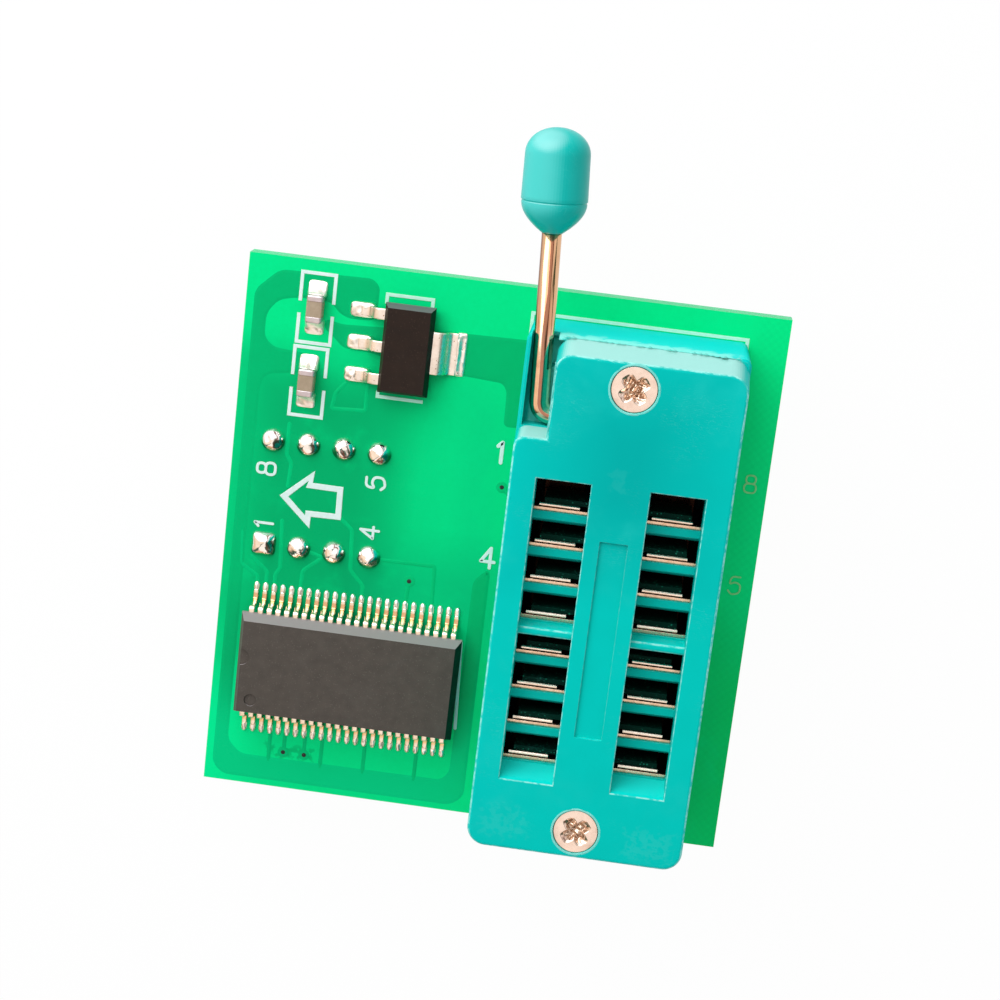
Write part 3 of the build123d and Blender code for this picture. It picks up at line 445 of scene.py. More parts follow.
socketLook = dict(
    colours=((0, 198, 188), (0, 192, 181), (40, 206, 197)), roughness=(0.4, 0.5),
    grainScale=12.0, coarseScale=0.4, smudgeScale=0.2, smudge=0.3, bump=0.18, specular=0.04,
    edge=(0.45, 0.06, 2.6, (170, 240, 232)), specks=(0.3, 0.06, 0.035, (190, 235, 228)),
    scratch=(0.6, (3, 9, 2), 0.12, (120, 222, 214)),
)
north = (0, 1, 0)
northPart = ((0, 7.5, 0), (40, 30, 20))  # the notch's south wall and all north of it
southPart = ((0, -30, 0), (40, 7.2, 20))
coverLook = dict(
    socketLook,
    colours=((0, 206, 196), (0, 200, 189), (40, 206, 197)),
    # painted light: faces turned north paler, most on the cover's north wall
    sides=[(north, 0.6, 0.85, (170, 220, 213), northPart), (north, 0.6, 0.85, (0, 236, 226), southPart)],
    # painted shade: darker over the middle of the cover's north half, where the lamp is near
    drift=[(((16.5, 1, 0), (26, 13, 20)), 4.0, 0.95, (0, 176, 170))],
    patches=[
        (((14.5, -19.6, 13), (17.6, -17.4, 14)), 1.0, 2.4, 0.07, (130, 226, 218)),
        (((24.4, -19.8, 13), (27.5, -18, 14)), 1.0, 2.6, 0.08, (130, 226, 218)),
        (((20.2, 5.4, 13), (21.4, 7, 14)), 0.8, 1.6, 0.09, (90, 214, 206)),
        (((14, -19, 11), (28, -14.4, 13.45)), 0.3, 5.0, 0.06, (130, 244, 236)),  # inside the last windows
    ],
    # the rounded rims paler: wear with a painted highlight
    rim=0.8,
)
makeFinish("coverPlastic", coverLook, "socket_cover")

# painted shade darkens the base below its top, round the contacts
contactLow, contactHigh = place("fixed_contacts_left")[0], place("fixed_contacts_right")[1]
slots = (
    (contactLow[0] - 0.3, contactLow[1] - 0.9, boardTop),
    (contactHigh[0] + 0.3, contactHigh[1] + 1.7, baseTop - 0.35),
)
baseLook = dict(
    socketLook,
    # painted light: faces turned north paler
    sides=[(north, 0.6, 0.9, (0, 222, 216), northPart)],
    drift=[(((14.15, 7.8, 4), (17.5, 14.3, 11)), 0.1, 0.9, (120, 255, 244))],  # painted light in the channel the rod lies in, where the base's wall casts shade
    patches=[(((14.5, 13, 9.6), (27.5, 17.5, 14)), 0.9, 1.2, 0.7, (150, 240, 230))],  # rough mould flash below the cover, paled as a painted reflection
    paintedShade=[(slots, 0.3, 1.0, (0, 66, 62))],
    edge=(0.4, 0.06, 2.6, (170, 240, 232)),
)
makeFinish("basePlastic", baseLook, "socket_base")
sliderLook = dict(
    socketLook,
    # painted shade: the slider's plastic made nearly black, for the shade it lies in under the cover
    colours=((0, 48, 38), (0, 32, 26), (0, 66, 54)),
    edge=(0.2, 0.06, 2.6, (40, 120, 100)),
    specks=(5.0, 0.5, 0.24, (30, 118, 96)),
)
makeFinish("sliderPlastic", sliderLook, "contact_slider")
knobLook = dict(
    socketLook,
    colours=((0, 188, 181), (0, 182, 174), (40, 206, 197)),
    # painted highlight and shade: paler to the upper left and on the dome, darker on the right
    sides=[
        ((-0.5, 0.1, 0.86), 0.62, 0.34, (120, 224, 220)),
        ((-0.3, 0.66, 0.69), 0.78, 0.48, (158, 220, 218)),
        ((0.98, -0.1, 0.15), 0.3, 0.45, (0, 160, 150)),
    ],
    roughness=(0.3, 0.36), specular=0.22, smudge=0.15, bump=0.06, edge=None,
    scratch=(0.5, (2, 2, 8), 0.1, (120, 222, 214)),
)
knobPlastic = makeFinish("knobPlastic", knobLook, "lever_knob")
flashLook = dict(
    socketLook,
    colours=((150, 228, 218), (84, 212, 202), (40, 204, 192)),
    edge=None,
    specks=(3.0, 0.1, 0.1, (190, 235, 228)),
)
flashPlastic = makeFinish("flashPlastic", flashLook)

east = (1, 0, 0)
chipLook = dict(
    colours=((82, 75, 69), (70, 64, 59), (92, 87, 82)), roughness=(0.5, 0.62),
    grainScale=20.0, coarseScale=1.2, smudge=0.3, bump=0.4, specular=0.3,
    edge=(0.12, 0.04, 4.0, (128, 124, 120)), specks=(9.0, 0.3, 0.3, (90, 83, 77)),
    # painted light and shade: the north bevel lit pale, the east bevel shaded black
    sides=[(north, 0.5, 0.9, (158, 150, 152)), (east, 0.5, 0.97, (4, 4, 4))],
)
makeFinish("chipPlastic", chipLook, "level_shifter_body")
regulatorLook = dict(
    chipLook,
    colours=((38, 24, 17), (29, 18, 13), (48, 36, 30)),
    roughness=(0.42, 0.55), specular=0.2,
    edge=(0.12, 0.04, 4.0, (84, 76, 70)),
    specks=(9.0, 0.3, 0.3, (50, 36, 29)),
    # painted light and shade: the north bevel lit pale, the east bevel shaded black
    sides=[(north, 0.5, 0.85, (104, 112, 112)), (east, 0.5, 0.97, (4, 4, 4))],
)
makeFinish("regulatorPlastic", regulatorLook, "regulator_body")
barLook = dict(
    chipLook, colours=((34, 34, 36), (26, 26, 28), (48, 48, 50)), edge=(0.12, 0.04, 4.0, (84, 84, 88)), sides=()
)
barPlastic = makeFinish("barPlastic", barLook, "header_bar_south", "header_bar_north")

ceramicLook = dict(
    colours=((176, 156, 132), (158, 138, 114), (140, 120, 100)), roughness=(0.34, 0.5),
    grainScale=10.0, coarseScale=2.0, bump=0.3, edge=(0.5, 0.08, 4.0, (204, 190, 170)),
)
makeFinish("ceramic", ceramicLook, "input_capacitor_body", "output_capacitor_body")

metalLook = dict(coarseScale=1.6, smudgeScale=0.9, metallic=1.0)
solderLook = dict(
    metalLook,
    colours=((255, 254, 252), (244, 240, 236), (222, 208, 194)),
    roughness=(0.05, 0.13), grainScale=5.0, bump=0.35, bumpDepth=0.02,
    # painted reflections: the flanks take the green of the lacquer around them, the south tip a coppery tint
    sides=[
        ((0.8, -0.34, 0.5), 0.7, 0.9, (22, 92, 64)),
        ((-0.7, -0.56, 0.44), 0.78, 0.88, (22, 100, 70)),
        ((0.02, -0.8, 0.6), 0.86, 0.75, (226, 176, 140)),
    ],
)
solderMetal = makeFinish("solderMetal", solderLook, "header_solder", "socket_solder")
# the solder of the flat pads is duller and speckled with flux
padSolderLook = dict(
    metalLook,
    colours=((255, 250, 244), (240, 230, 222), (216, 196, 176)),
    roughness=(0.26, 0.4), grainScale=7.0, bump=0.5, bumpDepth=0.02,
    specks=(6.0, 0.16, 0.2, (112, 84, 62)),
)
padSolder = makeFinish("padSolder", padSolderLook, "regulator_solder", "capacitor_solder")
tinLook = dict(metalLook, grainScale=6.0, bump=0.3, bumpDepth=0.012)
leadLook = dict(
    tinLook,
    colours=((252, 242, 228), (240, 220, 196), (222, 180, 138)),
    roughness=(0.16, 0.28),
    # bare copper shows on the flat of each lead, between its bend and the solder
    drift=[
        (((-50, -8.05, 4), (50, -7.5, 4.5)), 0.06, 0.8, (222, 168, 112)),
        (((-50, -17.2, 4), (50, -16.62, 5.1)), 0.1, 0.75, (240, 190, 122)),
    ],
)
tinMetal = makeFinish("tinMetal", leadLook, "level_shifter_leads_south", "level_shifter_leads_north")
broadTinLook = dict(
    tinLook,
    colours=((250, 242, 234), (234, 222, 210), (214, 190, 170)),
    roughness=(0.24, 0.36),
    specks=(5.0, 0.16, 0.2, (170, 136, 108)),
)
broadTin = makeFinish("broadTin", broadTinLook, "regulator_leads", "regulator_tab")
terminalLook = dict(
    tinLook,
    colours=((214, 206, 210), (190, 180, 186), (170, 152, 146)),
    roughness=(0.24, 0.38),
)
terminals = ("input_capacitor_terminals", "output_capacitor_terminals")
terminalMetal = makeFinish("terminalMetal", terminalLook, *terminals)
contactLook = dict(
    tinLook,
    colours=((246, 218, 194), (228, 186, 154), (176, 128, 100)),
    roughness=(0.2, 0.34),
    edge=(0.5, 0.03, 4.0, (252, 236, 220)),
    # painted shade: the contacts darker below their top edges, down in the slots
    paintedShade=[(((0, -30, 0), (40, 30, contactHigh[2] - 0.25)), 0.2, 1.0, (70, 42, 30))],
)
makeFinish("contactMetal", contactLook, "fixed_contacts_left", "fixed_contacts_right")
movingLook = dict(contactLook, colours=((252, 240, 228), (244, 222, 204), (222, 184, 156)))
makeFinish("movingMetal", movingLook, "moving_contacts_left", "moving_contacts_right")
goldLook = dict(tinLook, colours=((236, 200, 120), (214, 172, 92), (180, 140, 80)), roughness=(0.16, 0.28))
makeFinish("goldMetal", goldLook, "header_pins_south", "header_pins_north")
screwLook = dict(
    tinLook,
    colours=((248, 232, 220), (236, 214, 200), (214, 184, 164)),
    roughness=(0.12, 0.24),
    scratch=(1.4, (5, 5, 1), 0.25, (186, 146, 124)),
    # painted shade in the cross recess
    paintedShade=[(((0, -50, 0), (50, 50, place("cover_screws")[1][2] - 0.2)), 0.1, 1.0, (206, 180, 160))],
)
screwMetal = makeFinish("screwMetal", screwLook, "cover_screws")
rodLook = dict(
    tinLook,
    colours=((246, 212, 184), (234, 190, 158), (196, 146, 116)),
    roughness=(0.06, 0.12), grainScale=3.0, bump=0.12,
    drift=[(((-50, 15.1, -50), (50, 50, 50)), 0.5, 1.0, (222, 176, 136))],
    # painted reflections: the west side dark brown, a thin reddish line along the top
    sides=[((-1, 0, 0), 0.72, 0.9, (104, 48, 34)), ((0.16, -0.1, 0.98), 0.955, 0.75, (150, 84, 62))],
)
rodMetal = makeFinish("rodMetal", rodLook, "lever_rod")
print("finishes made:", len(bpy.data.materials))


# helpers for worked-out surfaces; a part is a pair of points in mm and triangles
def unit(vectors):
    return vectors / np.linalg.norm(vectors, axis=-1, keepdims=True)


def joined(*columns):
    # coordinates side by side; a single number is repeated
    return np.stack(np.broadcast_arrays(*columns), -1)


def fullTurn(steps):
    return np.linspace(0, 2 * np.pi, steps, endpoint=False)


def gridFaces(rows, columns, ring=False):
    # four-sided faces between neighbours of rows x columns points whose rows are closed loops
    r = np.arange(rows if ring else rows - 1)[:, None]
    c = np.arange(columns)[None]
    nextR, nextC = (r + 1) % rows * columns, (c + 1) % columns
    return np.stack([r * columns + c, nextR + c, nextR + nextC, r * columns + nextC], -1).reshape(-1, 4)


def outward(points, faces):
    # the sum of the tetrahedra from the origin is a closed mesh's volume; below zero it is inside out
    corner = points[faces]
    volume = np.sum(corner[:, 0] * np.cross(corner[:, 1], corner[:, 2]))
    return points, faces if volume > 0 else faces[:, ::-1]


def solid(grid, ring=False):
    # rows of closed loops skinned into one solid; each open end is closed by a fan round its middle
    rows, columns = grid.shape[:2]
    points = grid.reshape(-1, 3)
    quads = gridFaces(rows, columns, ring)
    faces = np.concatenate([quads[:, [0, 1, 2]], quads[:, [0, 2, 3]]])
    if not ring:
        turn = np.arange(columns)
        ahead = (turn + 1) % columns
        count, last = len(points), (rows - 1) * columns
        points = np.concatenate([points, grid[:1].mean(1), grid[-1:].mean(1)])
        low, high = joined(turn, ahead, count), joined(last + ahead, last + turn, count + 1)
        faces = np.concatenate([faces, low, high])
    return outward(points, faces)


def addPiece(name, parts, material, body, smooth=True):
    # the parts joined into one mesh whose object sits at the origin
    starts = np.cumsum([0] + [len(points) for points, _ in parts])
    points = np.concatenate([points for points, _ in parts]) * mm
    faces = np.concatenate([faces + start for (_, faces), start in zip(parts, starts)])
    mesh = bpy.data.meshes.new(name)
    mesh.from_pydata(points.tolist(), [], faces.tolist())
    mesh.polygons.foreach_set("use_smooth", np.full(len(faces), smooth))
    mesh.materials.append(material)
    mesh.update()
    piece = addObject(name, mesh)
    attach(piece, body)
    return piece


def ripple(x, y, seed, wavelength, count=6):
    # sine waves of like length in random directions, added up to about -1 to 1
    random = np.random.default_rng(seed)
    angle = random.uniform(0, 2 * np.pi, count)
    length = wavelength * random.uniform(0.7, 1.5, count)
    phase = random.uniform(0, 2 * np.pi, count)
    run = np.asarray(x)[..., None] * np.cos(angle) + np.asarray(y)[..., None] * np.sin(angle)
    return np.sin(run * 2 * np.pi / length + phase).sum(-1) / count**0.5 * 0.8


def roundedPath(corners, radius, closed=False, steps=6, share=0.48):
    # each corner becomes a quadratic curve between two points set back from it by the radius, but by
    # no more than the share of the shorter side beside it
    corner = np.array(corners, float)
    sides = [np.roll(corner, way, 0) - corner for way in (1, -1)]
    lengths = [np.linalg.norm(side, axis=1)[:, None] for side in sides]
    wanted = np.broadcast_to(np.array(radius, float), len(corner))[:, None]
    back = np.minimum(wanted, share * np.minimum(*lengths))
    start, end = (corner + side / length * back for side, length in zip(sides, lengths))
    t = np.linspace(0, 1, steps)[None, :, None]
    curve = (1 - t) ** 2 * start[:, None] + 2 * t * (1 - t) * corner[:, None] + t**2 * end[:, None]
    size = corner.shape[1]
    if closed:
        return curve.reshape(-1, size)
    return np.concatenate([corner[:1], curve[1:-1].reshape(-1, size), corner[-1:]])


def distances(path):
    # how far along the path each of its points lies
    return np.concatenate([[0], np.cumsum(np.linalg.norm(np.diff(path, axis=0), axis=1))])


def spaced(path, stops):
    # points of a path at the given distances along it
    return joined(*[np.interp(stops, distances(path), column) for column in path.T])


def mitred(path, closed=False, least=0.35):
    # sideways vectors that keep a strip's width round corners: the two normals' sum over 1 + their
    # product, which is held to a least value so that a sharp corner doesn't reach too far out
    ahead = unit(np.diff(np.concatenate([path, path[:1]]) if closed else path, axis=0))
    after = ahead if closed else np.concatenate([ahead, ahead[-1:]])
    before = np.roll(ahead, 1, 0) if closed else np.concatenate([ahead[:1], ahead])
    one, other = (joined(-run[:, 1], run[:, 0]) for run in (before, after))
    share = 1 + np.sum(one * other, axis=1)[:, None]
    return (one + other) / np.maximum(share, least)


def stroke(path, width, height, floor, closed=False, round=True, shift=0.0, shoulder=0.85):
    # a flat strip with rounded shoulders carried along the path; at a round end its half width
    # follows a half circle
    centre = path = np.array(path, float)
    half, reach = width / 2, np.ones(len(path))
    if not closed and round:
        first = path[:1] + unit(path[0] - path[1]) * half
        last = path[-1:] + unit(path[-1] - path[-2]) * half
        line = np.concatenate([first, path, last])
        length = distances(line)
        cap = half * (1 - np.cos(np.linspace(0.1, np.pi / 2, 6)))
        stops = np.unique(np.round(np.concatenate([cap, length[1:-1], length[-1] - cap]), 5))
        centre = spaced(line, stops)
        reach = np.clip(np.minimum(stops, stops[-1] + cap[0] - stops) / half, 0, 1)
        reach = np.sqrt(1 - (1 - reach) ** 2)
    side = mitred(centre, closed) * (half * reach)[:, None]
    across = np.array([-1, -shoulder, shoulder, 1]) + shift
    rise = np.array([0, 1, 1, 0]) * height + floor
    flat = centre[:, None] + side[:, None] * across[:, None]
    return solid(joined(flat[..., 0], flat[..., 1], rise), closed)


def flatFaces(points, way):
    # triangles of a level polygon, turned to face up (1) or down (-1)
    faces = np.array([list(face) for face in tessellate_polygon([[Vector(point) for point in points]])])
    a, b, c = (points[faces[:, k]] for k in range(3))
    up = (b - a)[:, 0] * (c - a)[:, 1] - (b - a)[:, 1] * (c - a)[:, 0]
    return np.where((up * way < 0)[:, None], faces[:, ::-1], faces)


def sheetPatch(outline, height, slope, floor):
    # a closed outline whose rim rises from the floor over the slope's width to a flat top
    area = np.sum(outline[:, 0] * np.roll(outline[:, 1], -1) - np.roll(outline[:, 0], -1) * outline[:, 1])
    outline = outline if area > 0 else outline[::-1]
    inset = np.array([0, 0.25, 0.5, 0.75, 1, 1.15])[:, None] * slope
    rise = np.array([0, 0.15, 0.5, 0.85, 1, 1])[:, None] * height + floor
    rows = outline[None] + mitred(outline, closed=True)[None] * inset[..., None]
    points = joined(rows[..., 0], rows[..., 1], rise)
    quads = gridFaces(len(inset), len(outline))
    top = flatFaces(points[-1], 1) + (len(inset) - 1) * len(outline)
    faces = [quads[:, [0, 2, 1]], quads[:, [0, 3, 2]], flatFaces(points[0], -1), top]
    return points.reshape(-1, 3), np.concatenate(faces)


def turned(centre, profile, steps=24):
    # a profile of (radius, height over the board) turned about an upright axis
    radius, height = np.array(profile, float).T[..., None]
    x, y = (radius * way(fullTurn(steps)) for way in (np.cos, np.sin))
    return solid(joined(centre[0] + x, centre[1] + y, boardTop + height))


def superRing(steps, power):
    # points of the curve |x|^power + |y|^power = 1: a circle at 2, nearly a square at 6
    c, s = np.cos(fullTurn(steps)), np.sin(fullTurn(steps))
    return np.sign(c) * np.abs(c) ** (2 / power), np.sign(s) * np.abs(s) ** (2 / power)


def mound(centre, half, height, power=2.0, rim=2.0, drop=0.5, rings=20, steps=56):
    # rings of a superellipse whose heights follow height(x, y) and fall into the board at the rim
    a, b = superRing(steps, power)
    share = np.sin(np.linspace(1, 0.03, rings) * np.pi / 2)[:, None]
    x, y = centre[0] + half[0] * share * a, centre[1] + half[1] * share * b
    fall = np.clip(1 - share**rim, 0, 1) ** drop
    return solid(joined(x, y, boardTop - sunkBy + (height(x, y) + sunkBy) * fall))


def carried(path, side, halfWidth, halfThick, power=2.0, steps=16):
    # a superellipse section carried along the path, its width along the fixed side vector
    ahead = unit(np.gradient(path, axis=0))
    up = unit(np.cross(side, ahead))
    a, b = (ring[:, None] for ring in superRing(steps, power))
    wide, thick = (np.broadcast_to(half, len(path))[:, None, None] for half in (halfWidth, halfThick))
    return solid(path[:, None] + np.cross(ahead, up)[:, None] * (wide * a) + up[:, None] * (thick * b))


def bentLine(look, wall, toe, high, low):
    # a lead's line out of the body, over its shoulder and along its foot: place, height and length so far
    half = look["thick"] / 2
    reach, top, foot = abs(toe - wall), high - half, low + half + look["clear"]
    corners = [(-look["inBody"], top), (look["shoulder"], top), (reach - look["foot"], foot), (reach, foot)]
    line = roundedPath(corners, look["bend"])
    stops = np.linspace(0, distances(line)[-1], look["rings"])
    out, height = spaced(line, stops).T
    return wall + np.sign(toe - wall) * out, height, stops


copper = dict(
    height=0.018, slope=0.2,
    track=(0.3, 0.026, 0.001),  # width, height, and how deep it starts
    trackBend=0.2,
    pours={0.55: "ground", 0.4: "supply"},  # corner radius
    ground=[
        (-6.1, -20.9), (-5.3, -21.7), (11.7, -21.7), (12.6, -20.9), (12.6, -3.9), (12.4, -3.6), (11.45, -4.5),
        (11.35, -19.2), (10.8, -19.85), (-4.1, -19.95), (-5.1, -19), (-5.1, 7.6), (-4.7, 8.5), (-3, 8.75),
        (-1, 8.9), (-1, 10.2), (-3, 10.35), (-4.4, 10.45), (-5.1, 11.1), (-5.1, 12.8), (-4.3, 13.85),
        (-2.9, 14.15), (-0.6, 14.1), (0, 13.4), (0.75, 13.1), (2.65, 13.2), (2.65, 15.6), (2.1, 16.1),
        (-4.4, 15.95), (-6.05, 14.35),
    ],
    supply=[
        (-0.9, 12.9), (0.3, 12.65), (9, 13.1), (13.6, 13.2), (13.6, 6.9), (12.3, 6.9), (12.25, 9.4),
        (11.9, 9.95), (9.3, 10.1), (6, 10.1), (2.6, 10.9), (0.5, 11), (-0.35, 11.8), (-0.95, 12.2),
    ],
    tracks=[
        [(-2.62, -2), (-2.45, -5.5), (-2.75, -6), (-2.75, -6.8)],
        [(-0.95, -3.9), (0.55, -4.3), (-0.8, -5.45), (-0.85, -6.8)],
        [(1.6, -1.3), (2.45, -2), (2.6, -4.95), (3.62, -6), (3.62, -6.8)],
        [(-4.55, -4.9), (-3.36, -5.85), (-3.36, -6.8)],
        [(-5.4, -3.2), (-5.3, -5.5), (-4, -6.3), (-4, -6.8)],
        [(4.5, -3.9), (8.6, -3.85), (8.7, -6.8)],
        [(6.9, -5.2), (6.8, -6.8)],
        [(-2.75, 5.1), (-2.75, 2.9), (-2.35, 2.3), (-2.45, 0.6)],
        [(0.9, 8.5), (0.3, 7.8), (0.1, 6.6), (2.5, 6.75), (2.5, 8.6)],
        [(-2, -18.1), (-2, -20.1)],
        [(-0.92, -18.1), (-0.92, -19.4)],
        [(0.57, -18.1), (0.57, -19.43)],
        [(1.85, -18.1), (1.85, -20.1)],
        [(5, -18.1), (5, -20.1)],
        [(8.8, -18.1), (8.8, -20.1)],
        [(12.73, 2.56), (13.6, 1.7)],
    ],
    vias=[(6.9, -5.2), (12.7, 2.55), (-0.95, -19.4), (0.6, -19.4)],
    # profiles as (radius, height over the board)
    viaRing=[(0.4, -0.01), (0.4, 0.018), (0.34, 0.032), (0.16, 0.034)],
    viaHole=[(0.16, 0.018), (0.16, 0.036), (0.08, 0.037)],
)


def makeCopper(look):
    # raised copper under the lacquer: two pours, thin tracks, and a ring at each via whose hole is a dark cap
    # of painted shade
    pours = [
        sheetPatch(roundedPath(look[name], radius, closed=True), look["height"], look["slope"], boardTop)
        for radius, name in look["pours"].items()
    ]
    addPiece("copper_pours", pours, lacqueredPour, "board", smooth=False)
    width, height, deep = look["track"]
    lines = [roundedPath(line, look["trackBend"]) for line in look["tracks"]]
    tracks = [stroke(line, width, height, boardTop - deep, shoulder=0.4) for line in lines]
    tracks += [turned(spot, look["viaRing"]) for spot in look["vias"]]
    addPiece("copper_tracks", tracks, lacqueredTrack, "board", smooth=False)
    # painted shade: a dark cap in each via ring stands for the hole
    holes = [turned(spot, look["viaHole"]) for spot in look["vias"]]
    addPiece("via_holes", holes, barPlastic, "board", smooth=False)


makeCopper(copper)
print("copper laid")

printing = dict(
    floor=0.016,  # above the board, on the copper
    height=0.022,
    layer=0.005,  # how much higher the strokes that cross lie
    lineWidth=0.25,
    # west, east, and the Y of the open ends and of the closed side
    brackets=[
        (-2.82, -0.46, 13.95, 15.99), (-2.82, -0.46, 13.1, 11.07),
        (-2.87, -0.55, 8.7, 10.73), (-2.87, -0.55, 7.8, 5.83),
    ],
    thinLines=[
        [(3.23, 14.5), (3.23, 15.15), (6.44, 15.15), (6.44, 14.5)],
        [(3.25, 8.3), (3.25, 7.9), (6.47, 7.9)],
        [(13.42, 7.0), (13.42, 15.14), (28.33, 15.14), (28.33, 13.9)],
    ],
    shifterLine=[(11.12, -9.23), (11.4, -15.75)],
    shifterLineWidth=0.24,
    # clockwise; the strip lies inside this outline
    arrow=[
        (-2.98, -0.15), (-0.6, 1.98), (-0.68, 1.08), (1.52, 1.06), (1.57, -1.38), (-0.6, -1.42), (-0.62, -2.3),
    ],
    arrowWidth=0.43,
    # digit, middle, height, turn in degrees, width of its stroke
    digits=[
        ("8", (-4.1, 1.69), 1.3, 90, 0.2),
        ("5", (3.75, 1.65), 1.3, 90, 0.2),
        ("1", (-3.92, -2.27), 1.3, 90, 0.2),
        ("4", (3.7, -2.0), 1.3, 90, 0.2),
        ("1", (12.45, 5.04), 1.45, 0, 0.28),
        ("4", (12.3, -2.7), 1.45, 0, 0.24),
    ],
    paleDigits=[("8", (29.96, 5.1), 1.25, 0, 0.13), ("5", (29.89, -2.31), 1.25, 0, 0.13)],
    digitMiddle=(0.33, 0.5),
    # strokes of a digit one unit high: closed loop or not, corner radius, corners
    strokes={
        "1": [(False, 0.02, [(0.1, 0.8), (0.3, 1), (0.3, 0)])],
        "4": [(False, 0.02, [(0.66, 0.3), (0, 0.3), (0.44, 0.98)]), (False, 0.02, [(0.46, 1), (0.46, 0)])],
        "5": [(False, 0.3, [
            (0.6, 1), (0.1, 1), (0.04, 0.52), (0.34, 0.7), (0.66, 0.56), (0.66, 0.06), (0.2, -0.06), (0, 0.16),
        ])],
        "8": [
            (True, 0.3, [(0.06, 0.53), (0.06, 1), (0.6, 1), (0.6, 0.53)]),
            (True, 0.3, [(0, 0), (0, 0.53), (0.66, 0.53), (0.66, 0)]),
        ],
    },
)


def digitParts(look, marks):
    # each digit's strokes, turned and shifted to their place on the board
    parts = []
    for digit, middle, size, angle, width in marks:
        c, s = np.cos(np.radians(angle)), np.sin(np.radians(angle))
        for layer, (closed, radius, corners) in enumerate(look["strokes"][digit]):
            path = (roundedPath(corners, radius, closed, steps=8) - look["digitMiddle"]) * size
            path = path @ np.array([[c, s], [-s, c]])
            floor = boardTop + look["floor"] + layer * look["layer"]
            parts.append(stroke(path + middle, width, look["height"], floor, closed))
    return parts


def makePrinting(look):
    # white lines, arrow and digits, and fainter lines and digits round the socket
    level = dict(height=look["height"], floor=boardTop + look["floor"])
    marks = []
    for west, east, start, end in look["brackets"]:
        line = [(west, start), (west, end), (east, end), (east, start)]
        marks.append(stroke(line, look["lineWidth"], **level, round=False))
    marks.append(stroke(look["arrow"][::-1], look["arrowWidth"], **level, closed=True, shift=1.0))
    marks.append(stroke(look["shifterLine"], look["shifterLineWidth"], **level))
    marks += digitParts(look, look["digits"])
    addPiece("printed_marks", marks, printInk, "board", smooth=False)
    thin = [stroke(line, look["lineWidth"], **level, round=False) for line in look["thinLines"]]
    addPiece("printed_outlines", thin, thinInk, "board", smooth=False)
    pale = digitParts(look, look["paleDigits"])
    addPiece("printed_pale_digits", pale, paleInk, "board", smooth=False)


makePrinting(printing)
print("printing done")

headerMounds = dict(
    radius=0.86, squareHalf=0.88,
    power=(2.0, 5.0),  # of the outline: round, and the first pad's
    height=0.74, drop=0.66, lump=0.07, lumpSize=0.9, pinsPerRow=4,
)


def makeHeaderMounds(look):
    # a nearly round dome of solder on each pin, with shallow lumps; the first pad is square
    spots = []
    for name in ("header_pins_south", "header_pins_north"):
        low, high = place(name)
        radius = (high[1] - low[1]) / 2
        row = np.linspace(low[0] + radius, high[0] - radius, look["pinsPerRow"])
        spots += [(x, low[1] + radius) for x in row]
    mounds = []
    for seed, spot in enumerate(spots):
        def height(x, y):
            return look["height"] + look["lump"] * (ripple(x, y, seed + 10, look["lumpSize"]) - 1)
        half = look["radius"] if seed else look["squareHalf"]
        power = look["power"][seed == 0]
        mounds.append(mound(spot, (half, half), height, power, drop=look["drop"], rings=28, steps=64))
    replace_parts(addPiece("header_mounds", mounds, solderMetal, "board"), "header_solder")


makeHeaderMounds(headerMounds)
print("header soldered")

shifterLeads = dict(
    count=24, thick=0.18, halfLead=0.15, foot=0.75,
    shoulder=0.36,  # out from the body
    bend=0.2, inBody=0.1,
    clear=0.012,  # under the foot
    rings=30,
    # half width against the share of the way from body to toe
    shares=(0.0, 0.2, 0.3, 0.42, 0.55, 0.7, 0.95, 1.0),
    halfWidths=(0.18, 0.2, 0.155, 0.21, 0.2, 0.17, 0.16, 0.12), toeHalf=(0.215, 0.42), toeHeight=0.2,
    toeOut=0.16,  # of the solder's middle beyond the lead's end
    toeLump=(0.03, 0.5),  # height and size
)


def makeShifterLeads(look):
    # a flat wire bent out of the body, down and along the board, with a drop of solder on its toe
    bodyLow, bodyHigh = place("level_shifter_body")
    lump, lumpSize = look["toeLump"]
    for name, side in (("north", 1), ("south", -1)):
        low, high = place("level_shifter_leads_" + name)
        wall, toe = (bodyHigh[1], high[1]) if side > 0 else (bodyLow[1], low[1])
        out, rise, stops = bentLine(look, wall, toe, high[2], low[2])
        widths = np.interp(stops / stops[-1], look["shares"], look["halfWidths"])
        path = joined(0.0, out, rise)
        points, faces = carried(path, (1, 0, 0), widths, look["thick"] / 2, power=5.0, steps=20)
        places = np.linspace(low[0] + look["halfLead"], high[0] - look["halfLead"], look["count"])
        leads = [(points + (x, 0, 0), faces) for x in places]
        piece = addPiece("shifter_leads_" + name, leads, tinMetal, "board")
        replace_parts(piece, "level_shifter_leads_" + name)
        drops = []
        for number, x in enumerate(places):
            def height(x, y):
                return look["toeHeight"] + lump * ripple(x, y, 100 + number, lumpSize)
            centre = (x, toe + side * look["toeOut"])
            drops.append(mound(centre, look["toeHalf"], height, power=2.6, rim=2.4, rings=9, steps=18))
        addPiece("shifter_solder_" + name, drops, padSolder, "board")


makeShifterLeads(shifterLeads)
print("shifter leads done")

regulatorMetal = dict(
    inBody=0.1,
    taper=(0.08, 0.6, 0.1),  # length, least share, and how much narrower the end is
    leads=3, thick=0.28, foot=0.65, shoulder=0.62, bend=0.3, clear=0.01, rings=32, leadHalf=0.39,
    solderHalf=(0.92, 0.56), solderOut=0.1, solderHeight=0.26,
    solderClimb=(0.34, 0.55, 0.4, 1.5),  # how high, from where, over what length, and its curve
    solderLump=(0.045, 0.6), tabSolderHalf=(0.42, 1.56), tabSolderOut=0.18, tabSolderHeight=0.17,
    tabSolderClimb=(0.14, 0.16), tabSolderLump=(0.025, 0.5),
)


